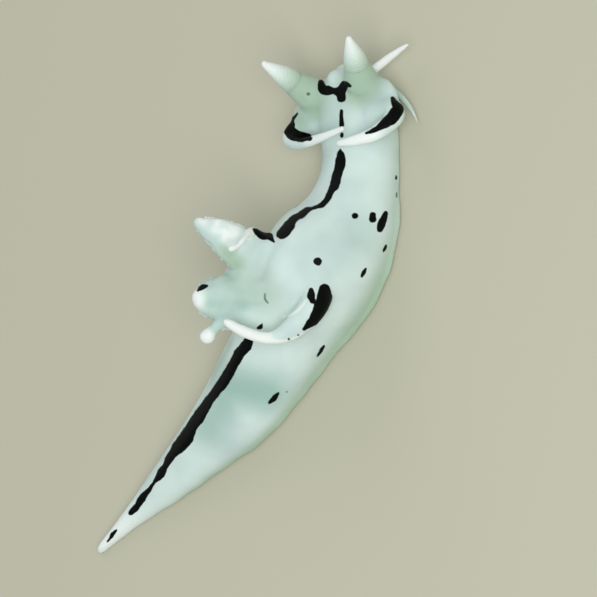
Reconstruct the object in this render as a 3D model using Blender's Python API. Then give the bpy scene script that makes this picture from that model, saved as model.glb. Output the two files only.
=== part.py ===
"""Trapania huarmeyana, a small sea slug, crawling in a gentle curve on a flat floor.

Metres, +Z up. The floor is z = 0, the head points along -Y and the animal's right
side along -X. The origin lies on the floor under the middle of the whole animal.
"""

import math
import random

import bmesh
import bpy
from mathutils import Matrix, Vector

MM = 0.001
GAP = 0.3 * MM
COLLECTION = "trapania_huarmeyana"
CUTTERS = "cutters"

# The body, from the snout to the tip of the tail: where its middle line runs on the
# floor (x, y), half its width, its height, and how sharp its back is (1 is round).
BODY_STATIONS_MM = (
    (1.70, -9.37, 0.80, 1.50, 0.9),
    (1.15, -8.76, 1.28, 1.72, 0.8),
    (0.48, -8.10, 1.50, 1.75, 0.8),
    (-0.44, -7.10, 1.48, 1.72, 0.9),
    (-1.06, -6.00, 1.58, 1.85, 1.1),
    (-1.55, -4.80, 1.92, 2.65, 1.4),
    (-1.72, -3.50, 2.20, 3.60, 1.4),
    (-1.80, -2.00, 2.10, 3.75, 1.3),
    (-1.66, -0.50, 1.75, 3.10, 1.3),
    (-1.22, 0.97, 1.82, 2.55, 1.5),
    (-0.70, 3.40, 1.62, 1.98, 1.6),
    (0.10, 5.48, 1.18, 1.50, 1.5),
    (1.00, 7.54, 0.82, 0.98, 1.3),
    (1.84, 9.44, 0.40, 0.64, 1.0),
    (2.64, 11.36, 0.15, 0.40, 1.0),
)
SNOUT_ROUNDING = 1.2 * MM
TAIL_ROUNDING = 0.35 * MM
WIDEST_HEIGHT = 0.34
SNOUT_WIDEST_HEIGHT = 0.72
FLANK_FULLNESS = 0.4
BODY_SIDES = 28
BODY_RINGS = 56

# The foot: a thin creeping sole under the whole body, a little wider than it.
FOOT_START = 0.3 * MM
FOOT_THICKNESS = 0.5 * MM
FOOT_MARGIN = 0.14 * MM
SOLE_FLATNESS = 1.12
SOLE_SQUARENESS = 0.5
FOOT_SIDES = 16
FOOT_RINGS = 40

# Where the body is parted, as distances back from the snout.
HEAD_END = 2.6 * MM
NECK_END = 5.0 * MM
TRUNK_MIDDLE = 8.1 * MM
TRUNK_END = 11.5 * MM
TAIL_MIDDLE = 15.7 * MM

# The mouth: an upright slit between two soft lips on the front of the snout, each
# size across, from front to back and up.
MOUTH_PLACE_MM = (0.06, 0.0, 1.06)
LIPS_MM = (0.60, 0.40, 0.44)
MOUTH_SLIT_MM = (0.11, 0.60, 0.30)
LIP_SIDES = 12
LIP_RINGS = 8

# Feelers. Each path is given in the body's own measures, from its root inside the
# body to its tip: back from the snout, to the right of the middle line, above the
# floor. The radii go with the points. Left and right are a little unlike, as posed.
FEELER_SIDES_STEP = 2
FEELER_POINTS = 5
TIP_DOME_DEGREES = (30, 60, 82)
ORAL_TENTACLE_RADII_MM = (0.27, 0.25, 0.22, 0.16)
ORAL_TENTACLE_RIGHT_MM = (
    (0.90, 0.80, 0.98),
    (0.52, 1.45, 0.95),
    (0.24, 2.20, 0.92),
    (0.01, 3.02, 0.95),
)
ORAL_TENTACLE_LEFT_MM = (
    (0.90, -0.80, 0.98),
    (0.48, -1.45, 0.95),
    (0.12, -2.10, 0.92),
    (-0.14, -2.85, 0.92),
)
FOOT_CORNER_RADII_MM = (0.25, 0.25, 0.23, 0.20, 0.12)
FOOT_CORNER_RIGHT_MM = (
    (0.90, 0.80, 0.27),
    (1.15, 1.36, 0.27),
    (1.68, 1.86, 0.27),
    (2.25, 2.18, 0.28),
    (2.72, 2.42, 0.30),
)
FOOT_CORNER_LEFT_MM = (
    (0.85, -0.80, 0.27),
    (1.00, -1.45, 0.27),
    (1.35, -1.85, 0.27),
    (1.75, -2.05, 0.28),
    (2.12, -2.12, 0.30),
)
HEAD_APPENDAGE_RADII_MM = (0.38, 0.42, 0.42, 0.35, 0.26, 0.20, 0.13)
HEAD_APPENDAGE_RIGHT_MM = (
    (2.25, 1.05, 1.20),
    (2.30, 1.62, 1.20),
    (2.42, 2.14, 1.26),
    (2.76, 2.32, 1.48),
    (3.12, 1.80, 1.92),
    (3.26, 1.08, 2.22),
    (3.30, 0.42, 2.35),
)
HEAD_APPENDAGE_LEFT_MM = (
    (1.95, -1.05, 1.20),
    (1.86, -1.62, 1.20),
    (1.78, -2.18, 1.24),
    (2.05, -2.44, 1.38),
    (2.55, -1.80, 1.72),
    (2.76, -0.50, 2.16),
    (2.68, 0.62, 2.38),
)
GILL_APPENDAGE_RADII_MM = (0.46, 0.50, 0.44, 0.30, 0.24, 0.20)
GILL_APPENDAGE_LEFT_RADII_MM = (0.36, 0.33, 0.29, 0.26, 0.24, 0.18)
GILL_APPENDAGE_RIGHT_MM = (
    (8.20, 1.30, 2.55),
    (8.70, 1.76, 2.85),
    (9.50, 1.80, 3.20),
    (10.04, 1.52, 3.78),
    (10.24, 1.07, 4.55),
    (10.38, 0.66, 5.20),
)
GILL_APPENDAGE_LEFT_MM = (
    (7.75, -1.10, 2.30),
    (7.32, -1.32, 3.00),
    (7.16, -1.31, 3.60),
    (7.10, -1.15, 4.35),
    (7.56, -0.88, 4.98),
    (8.12, -0.92, 5.32),
)

# Rhinophores: the ringed scent organs on the head.
RHINOPHORE_LENGTH = 2.25 * MM
RHINOPHORE_RADIUS = 0.48 * MM
RHINOPHORE_LAMELLAE = 7
RHINOPHORE_SIDES = 16
RHINOPHORE_FLARE = 1.08
RHINOPHORE_STALK_SHARE = 0.42
RHINOPHORE_CLUB_END = 0.94
RHINOPHORE_FOLD = 0.08
RHINOPHORE_FOLD_PLACE = 0.55
RHINOPHORE_CLUB_WIDTH = 0.94
RHINOPHORE_TAPER = 0.62
RHINOPHORE_TAPER_POWER = 1.3
RHINOPHORE_TIP_WIDTHS = (0.22, 0.17)
RHINOPHORE_ROOTS_MM = {"right": (1.24, 1.10, 1.66), "left": (0.92, -0.92, 1.75)}
RHINOPHORE_TIPS_MM = {"right": (-0.02, 2.18, 3.30), "left": (-0.24, -1.84, 3.30)}

# Gills: three plumes on the back. Each has a stout stem with a row of pinnae, its
# side branches, down either side and a shorter row on the face turned inwards.
GILL_CENTRE_MM = (9.10, -0.30, 3.0)
GILL_RADII_MM = (0.46, 0.36, 0.30, 0.18)
GILL_PATHS_MM = {
    "gill_front": ((8.32, -0.35, 2.90), (8.22, -1.22, 4.05), (7.98, -2.00, 4.80), (7.98, -2.85, 5.10)),
    "gill_left": ((9.50, -1.06, 2.80), (9.72, -1.06, 4.05), (10.16, -1.11, 4.80), (10.86, -1.17, 5.12)),
    "gill_rear": ((9.89, 0.25, 2.70), (10.27, 0.07, 3.70), (10.92, -0.14, 4.30), (11.62, -0.20, 4.42)),
}
PINNA_PAIRS = 7
PINNA_FIRST = 0.26
PINNA_LAST = 0.92
PINNA_LONGEST = 1.05 * MM
PINNA_SHORTEST = 0.45 * MM
PINNA_INNER_SHARE = 0.6
PINNA_VARIATION = 0.12
PINNA_ROOT_RADIUS = 0.22 * MM
PINNA_TIP_RADIUS = 0.12 * MM
PINNA_TIPWARD_LEAN = 0.6
PINNA_INWARD_LEAN = 0.1
PINNA_CURL = 0.3
PINNA_WAIST = 0.6
PINNA_BENDS = (0.55, 0.9)
PINNA_BEND_RADIUS = 0.95
PINNA_TAPER = 0.25
STEM_STEPS = 12
PINNA_SIDES_STEP = 1

SKIN_COLOUR = (0.58, 0.74, 0.68, 1.0)
SOLE_COLOUR = (0.45, 0.62, 0.52, 1.0)
WHITE_COLOUR = (0.85, 0.94, 0.90, 1.0)
GILL_COLOUR = (0.40, 0.56, 0.47, 1.0)


def clear_scene():
    """Start from an empty file, whatever was open."""
    for item in list(bpy.data.objects):
        bpy.data.objects.remove(item, do_unlink=True)


def new_collection(name):
    found = bpy.data.collections.new(name)
    bpy.context.scene.collection.children.link(found)
    return found


def material(name, colour, roughness):
    """A soft, moist finish in one colour."""
    made = bpy.data.materials.new(name)
    made.use_nodes = True
    shader = made.node_tree.nodes["Principled BSDF"]
    shader.inputs["Base Color"].default_value = colour
    shader.inputs["Roughness"].default_value = roughness
    shader.inputs["Metallic"].default_value = 0.0
    return made


def add_object(name, bm, collection):
    """Turn a bmesh into a named object with outward faces."""
    bmesh.ops.recalc_face_normals(bm, faces=bm.faces)
    if bm.calc_volume(signed=True) < 0:
        bmesh.ops.reverse_faces(bm, faces=bm.faces)
    mesh = bpy.data.meshes.new(name)
    bm.to_mesh(mesh)
    bm.free()
    item = bpy.data.objects.new(name, mesh)
    collection.objects.link(item)
    return item


def finish(item, colour, roughness=0.35):
    """Give a finished node its own material and smooth shading."""
    item.data.materials.clear()
    item.data.materials.append(material(item.name + "_skin", colour, roughness))
    item.data.shade_smooth()
    item.data.set_sharp_from_angle(angle=math.radians(50))
    return item


def between(a, b, c, d, t):
    """A smooth value from b to c, with a and d as the neighbours."""
    return 0.5 * (
        2 * b
        + (c - a) * t
        + (2 * a - 5 * b + 4 * c - d) * t * t
        + (3 * b - a - 3 * c + d) * t * t * t
    )


def smooth_rows(rows, steps):
    """Rows of numbers read from a smooth curve through the given rows."""
    padded = [rows[0], *rows, rows[-1]]
    found = []
    for i in range(1, len(padded) - 2):
        a, b, c, d = padded[i - 1 : i + 3]
        for step in range(steps):
            t = step / steps
            found.append([between(a[k], b[k], c[k], d[k], t) for k in range(len(b))])
    found.append(list(rows[-1]))
    return found


class Spine:
    """The body's middle line on the floor, read by the distance from the snout."""

    def __init__(self, stations_mm, steps=24):
        scaled = [(x * MM, y * MM, w * MM, h * MM, k) for x, y, w, h, k in stations_mm]
        self.rows = smooth_rows(scaled, steps)
        self.distance = [0.0]
        for before, row in zip(self.rows, self.rows[1:]):
            step = math.hypot(row[0] - before[0], row[1] - before[1])
            self.distance.append(self.distance[-1] + step)
        self.length = self.distance[-1]

    def read(self, along):
        """x, y, half width, height and sharpness at a distance from the snout."""
        along = min(max(along, 0.0), self.length)
        i = 1
        while i < len(self.distance) - 1 and self.distance[i] < along:
            i += 1
        span = self.distance[i] - self.distance[i - 1]
        t = (along - self.distance[i - 1]) / span
        return [p + (q - p) * t for p, q in zip(self.rows[i - 1], self.rows[i])]

    def axes(self, along):
        """The point on the floor, and the directions forward and to the right."""
        reach = 0.25 * MM
        ahead = Vector(self.read(along - reach)[:2])
        behind = Vector(self.read(along + reach)[:2])
        forward = (ahead - behind).normalized().to_3d()
        right = forward.cross(Vector((0, 0, 1)))
        x, y = self.read(along)[:2]
        return Vector((x, y, 0)), forward, right

    def place(self, measures_mm):
        """The point so far back from the snout, to the right, and above the floor."""
        along, out, up = (value * MM for value in measures_mm)
        base, forward, right = self.axes(along)
        return base + forward * max(-along, 0.0) + right * out + Vector((0, 0, up))

    def rounding(self, along):
        """How far the ends have closed: 0 at each tip, 1 along the body."""
        head = 1 - min(max(along, 0.0) / SNOUT_ROUNDING, 1.0)
        tail = 1 - min(max(self.length - along, 0.0) / TAIL_ROUNDING, 1.0)
        return math.sqrt(max(0.0, 1 - head * head)) * math.sqrt(max(0.0, 1 - tail * tail))

    def middle(self, along):
        """How high the body is widest: low along it, high up on the blunt snout."""
        back = min(max(along, 0.0) / HEAD_END, 1.0)
        share = SNOUT_WIDEST_HEIGHT + (WIDEST_HEIGHT - SNOUT_WIDEST_HEIGHT) * back
        return share * self.read(along)[3]

    def section(self, along, angle, grow=0.0):
        """A point of the skin: angle 0 is the right side and 90 degrees the back."""
        closed = self.rounding(along)
        half, height, sharp = self.read(along)[2:]
        half = half * closed + grow
        middle = self.middle(along)
        side = math.cos(angle)
        up = math.sin(angle)
        if up >= 0:
            out = half * math.copysign(abs(side) ** sharp, side)
            z = middle + ((height - middle) * closed + grow) * up
        else:
            out = half * math.copysign(abs(side) ** FLANK_FULLNESS, side)
            z = middle + (middle * closed + grow) * up
        base, forward, right = self.axes(along)
        return base + right * out + Vector((0, 0, z))


def drawn_out_sphere(spine, sides, rings, place):
    """A ball whose rings are laid along the spine, each vertex set by place."""
    bm = bmesh.new()
    bmesh.ops.create_uvsphere(bm, u_segments=sides, v_segments=rings, radius=1.0)
    for vertex in bm.verts:
        along = spine.length * (1 - vertex.co.z) / 2
        angle = math.atan2(vertex.co.y, vertex.co.x)
        pole = round(vertex.co.z, 5) if abs(vertex.co.z) > 0.99999 else 0
        vertex.co = place(along, angle, pole)
    return bm


def body_form(spine, grow=0.0):
    """The whole body as one closed skin, or a copy grown by a clearance."""

    def place(along, angle, pole):
        base, forward, right = spine.axes(along)
        if pole:
            return base + forward * pole * grow + Vector((0, 0, spine.middle(along)))
        return spine.section(along, angle, grow)

    return drawn_out_sphere(spine, BODY_SIDES, BODY_RINGS, place)


def foot_form(spine, grow=0.0):
    """The sole: flat below, with a thin rounded margin, or a copy grown all round."""

    def place(along, angle, pole):
        closed = spine.rounding(along)
        along = max(along, FOOT_START + along * (1 - FOOT_START / HEAD_END))
        half = ((spine.read(along)[2] + FOOT_MARGIN) * closed + grow) * (0 if pole else 1)
        thick = FOOT_THICKNESS / 2 * closed + grow
        side = math.cos(angle)
        up = math.sin(angle) * (0 if pole else 1)
        out = half * math.copysign(abs(side) ** SOLE_SQUARENESS, side)
        rise = math.copysign(min(abs(up) ** SOLE_SQUARENESS * SOLE_FLATNESS, 1.0), up)
        z = FOOT_THICKNESS / 2 + rise * thick
        base, forward, right = spine.axes(along)
        return base + right * out + Vector((0, 0, z)) + forward * pole * grow

    return drawn_out_sphere(spine, FOOT_SIDES, FOOT_RINGS, place)


def keep_side(bm, point, normal):
    """Cut with a plane, keep what lies on the normal's side and close the cut."""
    geom = bm.verts[:] + bm.edges[:] + bm.faces[:]
    bmesh.ops.bisect_plane(
        bm,
        geom=geom,
        dist=1e-7,
        plane_co=point,
        plane_no=normal,
        clear_inner=True,
    )
    open_edges = [edge for edge in bm.edges if edge.is_boundary]
    if open_edges:
        bmesh.ops.edgenet_fill(bm, edges=open_edges)


def keep_length(spine, bm, start, end):
    """Keep one length of the body, half a gap short at each inner end."""
    if start > 0:
        point, forward, right = spine.axes(start + GAP / 2)
        keep_side(bm, point, -forward)
    if end < spine.length:
        point, forward, right = spine.axes(end - GAP / 2)
        keep_side(bm, point, forward)


def body_lengths(spine, collection):
    """Head, neck, trunk and tail, parted by thin cuts and resting on the foot."""
    cuts = (
        ("head", 0.0, HEAD_END),
        ("neck", HEAD_END, NECK_END),
        ("trunk_front", NECK_END, TRUNK_MIDDLE),
        ("trunk_rear", TRUNK_MIDDLE, TRUNK_END),
        ("tail_front", TRUNK_END, TAIL_MIDDLE),
        ("tail_rear", TAIL_MIDDLE, spine.length),
    )
    made = {}
    for name, start, end in cuts:
        bm = body_form(spine)
        keep_side(bm, Vector((0, 0, FOOT_THICKNESS + GAP)), Vector((0, 0, 1)))
        keep_length(spine, bm, start, end)
        made[name] = finish(add_object(name, bm, collection), SKIN_COLOUR)
    return made


def foot_lengths(spine, collection):
    """The creeping sole in three lengths."""
    cuts = (
        ("foot_front", 0.0, NECK_END),
        ("foot_middle", NECK_END, TRUNK_END),
        ("foot_rear", TRUNK_END, spine.length),
    )
    made = {}
    for name, start, end in cuts:
        bm = foot_form(spine)
        keep_length(spine, bm, start, end)
        made[name] = finish(add_object(name, bm, collection), SOLE_COLOUR)
    return made


def hidden_cutter(name, bm, cutters):
    """A closed form that only cuts others."""
    item = add_object(name, bm, cutters)
    item.hide_render = True
    item.display_type = "WIRE"
    return item


def cut_away(item, cutter):
    """Take the cutter's volume out of an object."""
    cut = item.modifiers.new("clear_of_" + cutter.name, "BOOLEAN")
    cut.operation = "DIFFERENCE"
    cut.object = cutter
    return cut


def keep_largest(item):
    """Apply the modifiers and keep only the largest closed surface."""
    graph = bpy.context.evaluated_depsgraph_get()
    made = bpy.data.meshes.new_from_object(item.evaluated_get(graph))
    item.modifiers.clear()
    item.data = made
    bm = bmesh.new()
    bm.from_mesh(made)
    bmesh.ops.remove_doubles(bm, verts=bm.verts, dist=1e-7)
    left = set(bm.verts)
    islands = []
    while left:
        queue = [left.pop()]
        island = set(queue)
        while queue:
            for edge in queue.pop().link_edges:
                for vertex in edge.verts:
                    if vertex in left:
                        left.discard(vertex)
                        island.add(vertex)
                        queue.append(vertex)
        islands.append(island)
    largest = max(islands, key=size_of)
    loose = [vertex for vertex in bm.verts if vertex not in largest]
    bmesh.ops.delete(bm, geom=loose, context="VERTS")
    bm.to_mesh(made)
    bm.free()
    return item


def size_of(island):
    """The diagonal of the box round a set of vertices."""
    low = Vector([min(vertex.co[k] for vertex in island) for k in range(3)])
    high = Vector([max(vertex.co[k] for vertex in island) for k in range(3)])
    return (high - low).length


def join(item, pieces, collection):
    """Fuse closed pieces into an object and remove them."""
    for piece in pieces:
        collection.objects.link(piece)
    fuse = item.modifiers.new("fuse", "BOOLEAN")
    fuse.operation = "UNION"
    fuse.solver = "MANIFOLD"
    fuse.operand_type = "COLLECTION"
    fuse.collection = collection
    keep_largest(item)
    for piece in pieces:
        bpy.data.objects.remove(piece, do_unlink=True)
    return item


def tapered_tube(name, points, radii, collection, resolution=FEELER_SIDES_STEP, steps=FEELER_POINTS):
    """A curve with a bevel through the points, made a closed mesh."""
    curve = bpy.data.curves.new(name, "CURVE")
    curve.dimensions = "3D"
    curve.bevel_depth = 1.0
    curve.bevel_resolution = resolution
    curve.use_fill_caps = True
    rows = [(*point, radius) for point, radius in zip(points, radii)]
    rows = smooth_rows(rows, steps)
    rows = rounded_tip(rows)
    line = curve.splines.new("POLY")
    line.points.add(len(rows) - 1)
    for spot, (x, y, z, radius) in zip(line.points, rows):
        spot.co = (x, y, z, 1.0)
        spot.radius = radius
    item = bpy.data.objects.new(name + "_curve", curve)
    collection.objects.link(item)
    graph = bpy.context.evaluated_depsgraph_get()
    mesh = bpy.data.meshes.new_from_object(item.evaluated_get(graph))
    bpy.data.objects.remove(item, do_unlink=True)
    bm = bmesh.new()
    bm.from_mesh(mesh)
    bpy.data.meshes.remove(mesh)
    bmesh.ops.remove_doubles(bm, verts=bm.verts, dist=1e-7)
    return add_object(name, bm, collection)


def rounded_tip(rows):
    """Close the last end of a tapering path as a dome."""
    tip = Vector(rows[-1][:3])
    radius = rows[-1][3]
    way = (tip - Vector(rows[-2][:3])).normalized()
    rows = list(rows)
    for turn in TIP_DOME_DEGREES:
        angle = math.radians(turn)
        point = tip + way * radius * math.sin(angle)
        rows.append((*point, radius * math.cos(angle)))
    return rows


def feeler(name, path_mm, radii_mm, spine, collection, cutters, colour):
    """A soft tapering process, cut off square to the skin it grows from."""
    points = [spine.place(measures) for measures in path_mm]
    item = tapered_tube(name, points, [radius * MM for radius in radii_mm], collection)
    for cutter in cutters:
        cut_away(item, cutter)
    return finish(keep_largest(item), colour)


def rhinophore_profile():
    """Shares of radius and length from root to tip, with a fold for each lamella."""
    stalk = RHINOPHORE_STALK_SHARE
    step = (RHINOPHORE_CLUB_END - stalk) / RHINOPHORE_LAMELLAE
    profile = [(RHINOPHORE_FLARE, 0.0), ((RHINOPHORE_FLARE + 1) / 2, stalk / 2), (1.0, stalk - step / 2)]
    for i in range(RHINOPHORE_LAMELLAE):
        low = stalk + step * i
        taper = RHINOPHORE_TAPER * (i / RHINOPHORE_LAMELLAE) ** RHINOPHORE_TAPER_POWER
        width = RHINOPHORE_CLUB_WIDTH - taper
        profile.append((width - RHINOPHORE_FOLD, low))
        profile.append((width + RHINOPHORE_FOLD, low + RHINOPHORE_FOLD_PLACE * step))
    for i, width in enumerate(RHINOPHORE_TIP_WIDTHS):
        profile.append((width, RHINOPHORE_CLUB_END + i * step / 2))
    return profile


def rhinophore(side, spine, collection, cutters):
    """A leaning club with lamellae that slope down to its back."""
    bm = bmesh.new()
    spots = [
        bm.verts.new((width * RHINOPHORE_RADIUS, 0, up * RHINOPHORE_LENGTH))
        for width, up in rhinophore_profile()
    ]
    edges = [bm.edges.new(pair) for pair in zip(spots, spots[1:])]
    bmesh.ops.spin(
        bm,
        geom=spots + edges,
        axis=(0, 0, 1),
        cent=(0, 0, 0),
        steps=RHINOPHORE_SIDES,
        angle=math.tau,
        use_merge=True,
    )
    bmesh.ops.remove_doubles(bm, verts=bm.verts, dist=1e-6)
    rims = [edge for edge in bm.edges if edge.is_boundary]
    bmesh.ops.holes_fill(bm, edges=rims, sides=0)
    root = spine.place(RHINOPHORE_ROOTS_MM[side])
    tip = spine.place(RHINOPHORE_TIPS_MM[side])
    turn = (tip - root).to_track_quat("Z", "Y").to_matrix().to_4x4()
    bmesh.ops.transform(bm, matrix=Matrix.Translation(root) @ turn, verts=bm.verts)
    item = add_object("rhinophore_" + side, bm, collection)
    for cutter in cutters:
        cut_away(item, cutter)
    return finish(keep_largest(item), WHITE_COLOUR)


def ball(spine, measures_mm, size_mm):
    """A ball stretched across, along and up, set in the body's own directions."""
    bm = bmesh.new()
    bmesh.ops.create_uvsphere(bm, u_segments=LIP_SIDES, v_segments=LIP_RINGS, radius=0.5)
    base, forward, right = spine.axes(measures_mm[0] * MM)
    across, depth, tall = (value * MM for value in size_mm)
    for vertex in bm.verts:
        x, y, z = vertex.co
        offset = right * (x * across) + forward * (y * depth) + Vector((0, 0, z * tall))
        vertex.co = spine.place(measures_mm) + offset
    return bm


def mouth(head, spine, collection, cutters):
    """Raise the lips on the snout and part them with an upright slit."""
    lips = add_object("lips", ball(spine, MOUTH_PLACE_MM, LIPS_MM), collection)
    collection.objects.unlink(lips)
    join(head, [lips], new_collection("lips"))
    slit = hidden_cutter("mouth_slit", ball(spine, MOUTH_PLACE_MM, MOUTH_SLIT_MM), cutters)
    cut_away(head, slit)
    finish(keep_largest(head), SKIN_COLOUR)


class Stem:
    """A gill's stem, read by the share of its length from the root."""

    def __init__(self, points, centre):
        self.rows = [Vector(row) for row in smooth_rows([tuple(p) for p in points], STEM_STEPS)]
        self.centre = centre

    def read(self, share):
        """The point, the way to the tip, the outward side and the way across."""
        i = min(int(share * (len(self.rows) - 1)), len(self.rows) - 2)
        point = self.rows[i]
        way = (self.rows[i + 1] - self.rows[max(i - 1, 0)]).normalized()
        outward = point - self.centre
        outward = (outward - way * outward.dot(way)).normalized()
        return point, way, outward, way.cross(outward)

    def nearest(self, point):
        return min(self.rows, key=lambda row: (row - point).length_squared)


def own_side(stem, others, point):
    """How far a point is from half way to the nearest neighbouring stem."""
    rooms = []
    near = stem.nearest(point)
    for other in others:
        far = other.nearest(point)
        apart = (far - near).length
        rooms.append(((far - point).length_squared - (near - point).length_squared) / (2 * apart))
    return min(rooms)


def clear_length(stem, others, root, way, length, radius):
    """How long a pinna may be and stay on its own stem's side of the neighbours."""
    while length > PINNA_SHORTEST:
        tip_room = own_side(stem, others, root + way * length)
        waist_room = own_side(stem, others, root + way * length * PINNA_WAIST)
        if tip_room > GAP / 2 + PINNA_TIP_RADIUS and waist_room > GAP / 2 + radius:
            return length
        length -= PINNA_SHORTEST / 8
    return 0.0


def pinnae(stem, others, collection):
    """The side branches of one plume, each a bent, tapering finger."""
    made = []
    rows = ((1, 1.0, PINNA_INWARD_LEAN), (-1, 1.0, PINNA_INWARD_LEAN), (0, PINNA_INNER_SHARE, 1.0))
    for pair in range(PINNA_PAIRS):
        share = pair / (PINNA_PAIRS - 1)
        root, way, outward, across = stem.read(PINNA_FIRST + (PINNA_LAST - PINNA_FIRST) * share)
        longest = PINNA_LONGEST + (PINNA_SHORTEST - PINNA_LONGEST) * share
        radius = PINNA_ROOT_RADIUS * (1 - share * PINNA_TAPER)
        for side, part, inward in rows:
            lean = (across * side - outward * inward + way * PINNA_TIPWARD_LEAN).normalized()
            wanted = longest * part * random.uniform(1 - PINNA_VARIATION, 1 + PINNA_VARIATION)
            length = clear_length(stem, others, root, lean, wanted + radius, radius)
            if length:
                curl = (way - outward) * PINNA_CURL * length / 2
                bend, end = (root + lean * length * share for share in PINNA_BENDS)
                points = (root, bend, end + curl)
                radii = (radius, radius * PINNA_BEND_RADIUS, PINNA_TIP_RADIUS)
                made.append(tapered_tube("pinna", points, radii, collection, PINNA_SIDES_STEP, 1))
    return made


def plume(name, stems, spine, collection, cutter):
    """One gill: the stem with its pinnae fused on, cut clear of the back."""
    stem = stems[name]
    others = [other for key, other in stems.items() if key != name]
    points = [spine.place(measures) for measures in GILL_PATHS_MM[name]]
    item = tapered_tube(name, points, [radius * MM for radius in GILL_RADII_MM], collection)
    branches = pinnae(stem, others, collection)
    for branch in branches:
        collection.objects.unlink(branch)
    join(item, branches, new_collection(name + "_pinnae"))
    cut_away(item, cutter)
    return finish(keep_largest(item), GILL_COLOUR)


def gills(spine, collection, cutter):
    """The three plumes, each kept clear of the others and of the side processes."""
    centre = spine.place(GILL_CENTRE_MM)
    paths = dict(GILL_PATHS_MM)
    paths["gill_appendage_right"] = GILL_APPENDAGE_RIGHT_MM
    paths["gill_appendage_left"] = GILL_APPENDAGE_LEFT_MM
    stems = {
        name: Stem([spine.place(measures) for measures in path], centre)
        for name, path in paths.items()
    }
    for name in GILL_PATHS_MM:
        plume(name, stems, spine, collection, cutter)


def main():
    clear_scene()
    random.seed(7)
    collection = new_collection(COLLECTION)
    cutters = new_collection(CUTTERS)
    spine = Spine(BODY_STATIONS_MM)
    lengths = body_lengths(spine, collection)
    mouth(lengths["head"], spine, collection, cutters)
    foot_lengths(spine, collection)
    near_body = hidden_cutter("clearance_round_body", body_form(spine, GAP), cutters)
    near_foot = hidden_cutter("clearance_round_foot", foot_form(spine, GAP), cutters)
    both = (near_body, near_foot)
    feelers = (
        ("oral_tentacle_right", ORAL_TENTACLE_RIGHT_MM, ORAL_TENTACLE_RADII_MM, WHITE_COLOUR),
        ("oral_tentacle_left", ORAL_TENTACLE_LEFT_MM, ORAL_TENTACLE_RADII_MM, WHITE_COLOUR),
        ("foot_corner_right", FOOT_CORNER_RIGHT_MM, FOOT_CORNER_RADII_MM, SKIN_COLOUR),
        ("foot_corner_left", FOOT_CORNER_LEFT_MM, FOOT_CORNER_RADII_MM, SKIN_COLOUR),
        ("head_appendage_right", HEAD_APPENDAGE_RIGHT_MM, HEAD_APPENDAGE_RADII_MM, WHITE_COLOUR),
        ("head_appendage_left", HEAD_APPENDAGE_LEFT_MM, HEAD_APPENDAGE_RADII_MM, WHITE_COLOUR),
        ("gill_appendage_right", GILL_APPENDAGE_RIGHT_MM, GILL_APPENDAGE_RADII_MM, WHITE_COLOUR),
        ("gill_appendage_left", GILL_APPENDAGE_LEFT_MM, GILL_APPENDAGE_LEFT_RADII_MM, WHITE_COLOUR),
    )
    for name, path, radii, colour in feelers:
        feeler(name, path, radii, spine, collection, both, colour)
    for side in ("right", "left"):
        rhinophore(side, spine, collection, (near_body,))
    gills(spine, collection, near_body)


main()
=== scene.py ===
import math
import random

import bmesh
import bpy
import numpy as np
from mathutils import Matrix, Vector, noise
from mathutils.bvhtree import BVHTree


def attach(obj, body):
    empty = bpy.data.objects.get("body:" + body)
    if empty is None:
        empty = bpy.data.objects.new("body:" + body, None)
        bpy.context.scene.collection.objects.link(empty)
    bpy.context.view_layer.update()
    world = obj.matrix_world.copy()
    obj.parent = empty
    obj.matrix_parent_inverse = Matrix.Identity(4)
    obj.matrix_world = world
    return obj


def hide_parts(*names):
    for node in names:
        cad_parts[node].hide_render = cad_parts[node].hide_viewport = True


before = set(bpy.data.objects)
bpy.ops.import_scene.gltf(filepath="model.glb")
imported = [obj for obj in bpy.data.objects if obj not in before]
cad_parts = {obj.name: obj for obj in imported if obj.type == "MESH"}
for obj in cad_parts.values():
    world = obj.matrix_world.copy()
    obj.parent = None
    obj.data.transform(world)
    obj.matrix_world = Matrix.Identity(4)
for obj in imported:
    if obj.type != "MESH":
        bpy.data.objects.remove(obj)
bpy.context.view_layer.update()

# The camera. It looks down on the animal from its right, 50 degrees above the floor,
# with the head at the top of the picture. It comes first because the skin's markings
# are laid along the lines of sight through the places where the photograph has them.
MM = 0.001
PHOTO_SIDE = 597
CAMERA_TILT = math.radians(40.0)
CAMERA_TURN = math.radians(15.7)
CAMERA_ROLL = math.radians(14.0)
CAMERA_DISTANCE_MM = 220.0
PIXELS_PER_MM = 27.0
CAMERA_AIM_MM = Vector((-0.5, -1.0, 0.0))
SENSOR_MM = 36.0
NEAREST_MM = 10.0

upright = Vector((0, 0, 1))
sideways = Vector((-math.cos(CAMERA_TURN), -math.sin(CAMERA_TURN), 0))
ahead = Vector((math.sin(CAMERA_TURN), -math.cos(CAMERA_TURN), 0))
lean = math.sin(CAMERA_TILT) * upright - math.cos(CAMERA_TILT) * sideways
sight_back = math.sin(CAMERA_TILT) * sideways + math.cos(CAMERA_TILT) * upright
sight_up = math.cos(CAMERA_ROLL) * ahead + math.sin(CAMERA_ROLL) * lean
sight_right = math.sin(CAMERA_ROLL) * ahead - math.cos(CAMERA_ROLL) * lean
eye_mm = CAMERA_AIM_MM + sight_back * CAMERA_DISTANCE_MM
FOCAL_PIXELS = PIXELS_PER_MM * CAMERA_DISTANCE_MM

camera = bpy.data.objects.new("camera", bpy.data.cameras.new("camera"))
camera.data.sensor_width = SENSOR_MM
camera.data.lens = SENSOR_MM * FOCAL_PIXELS / PHOTO_SIDE
camera.data.clip_start = NEAREST_MM * MM
camera.matrix_world = Matrix.Translation(eye_mm * MM) @ Matrix(
    (sight_right, sight_up, sight_back)
).transposed().to_4x4()
bpy.context.scene.collection.objects.link(camera)
bpy.context.scene.camera = camera


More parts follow.
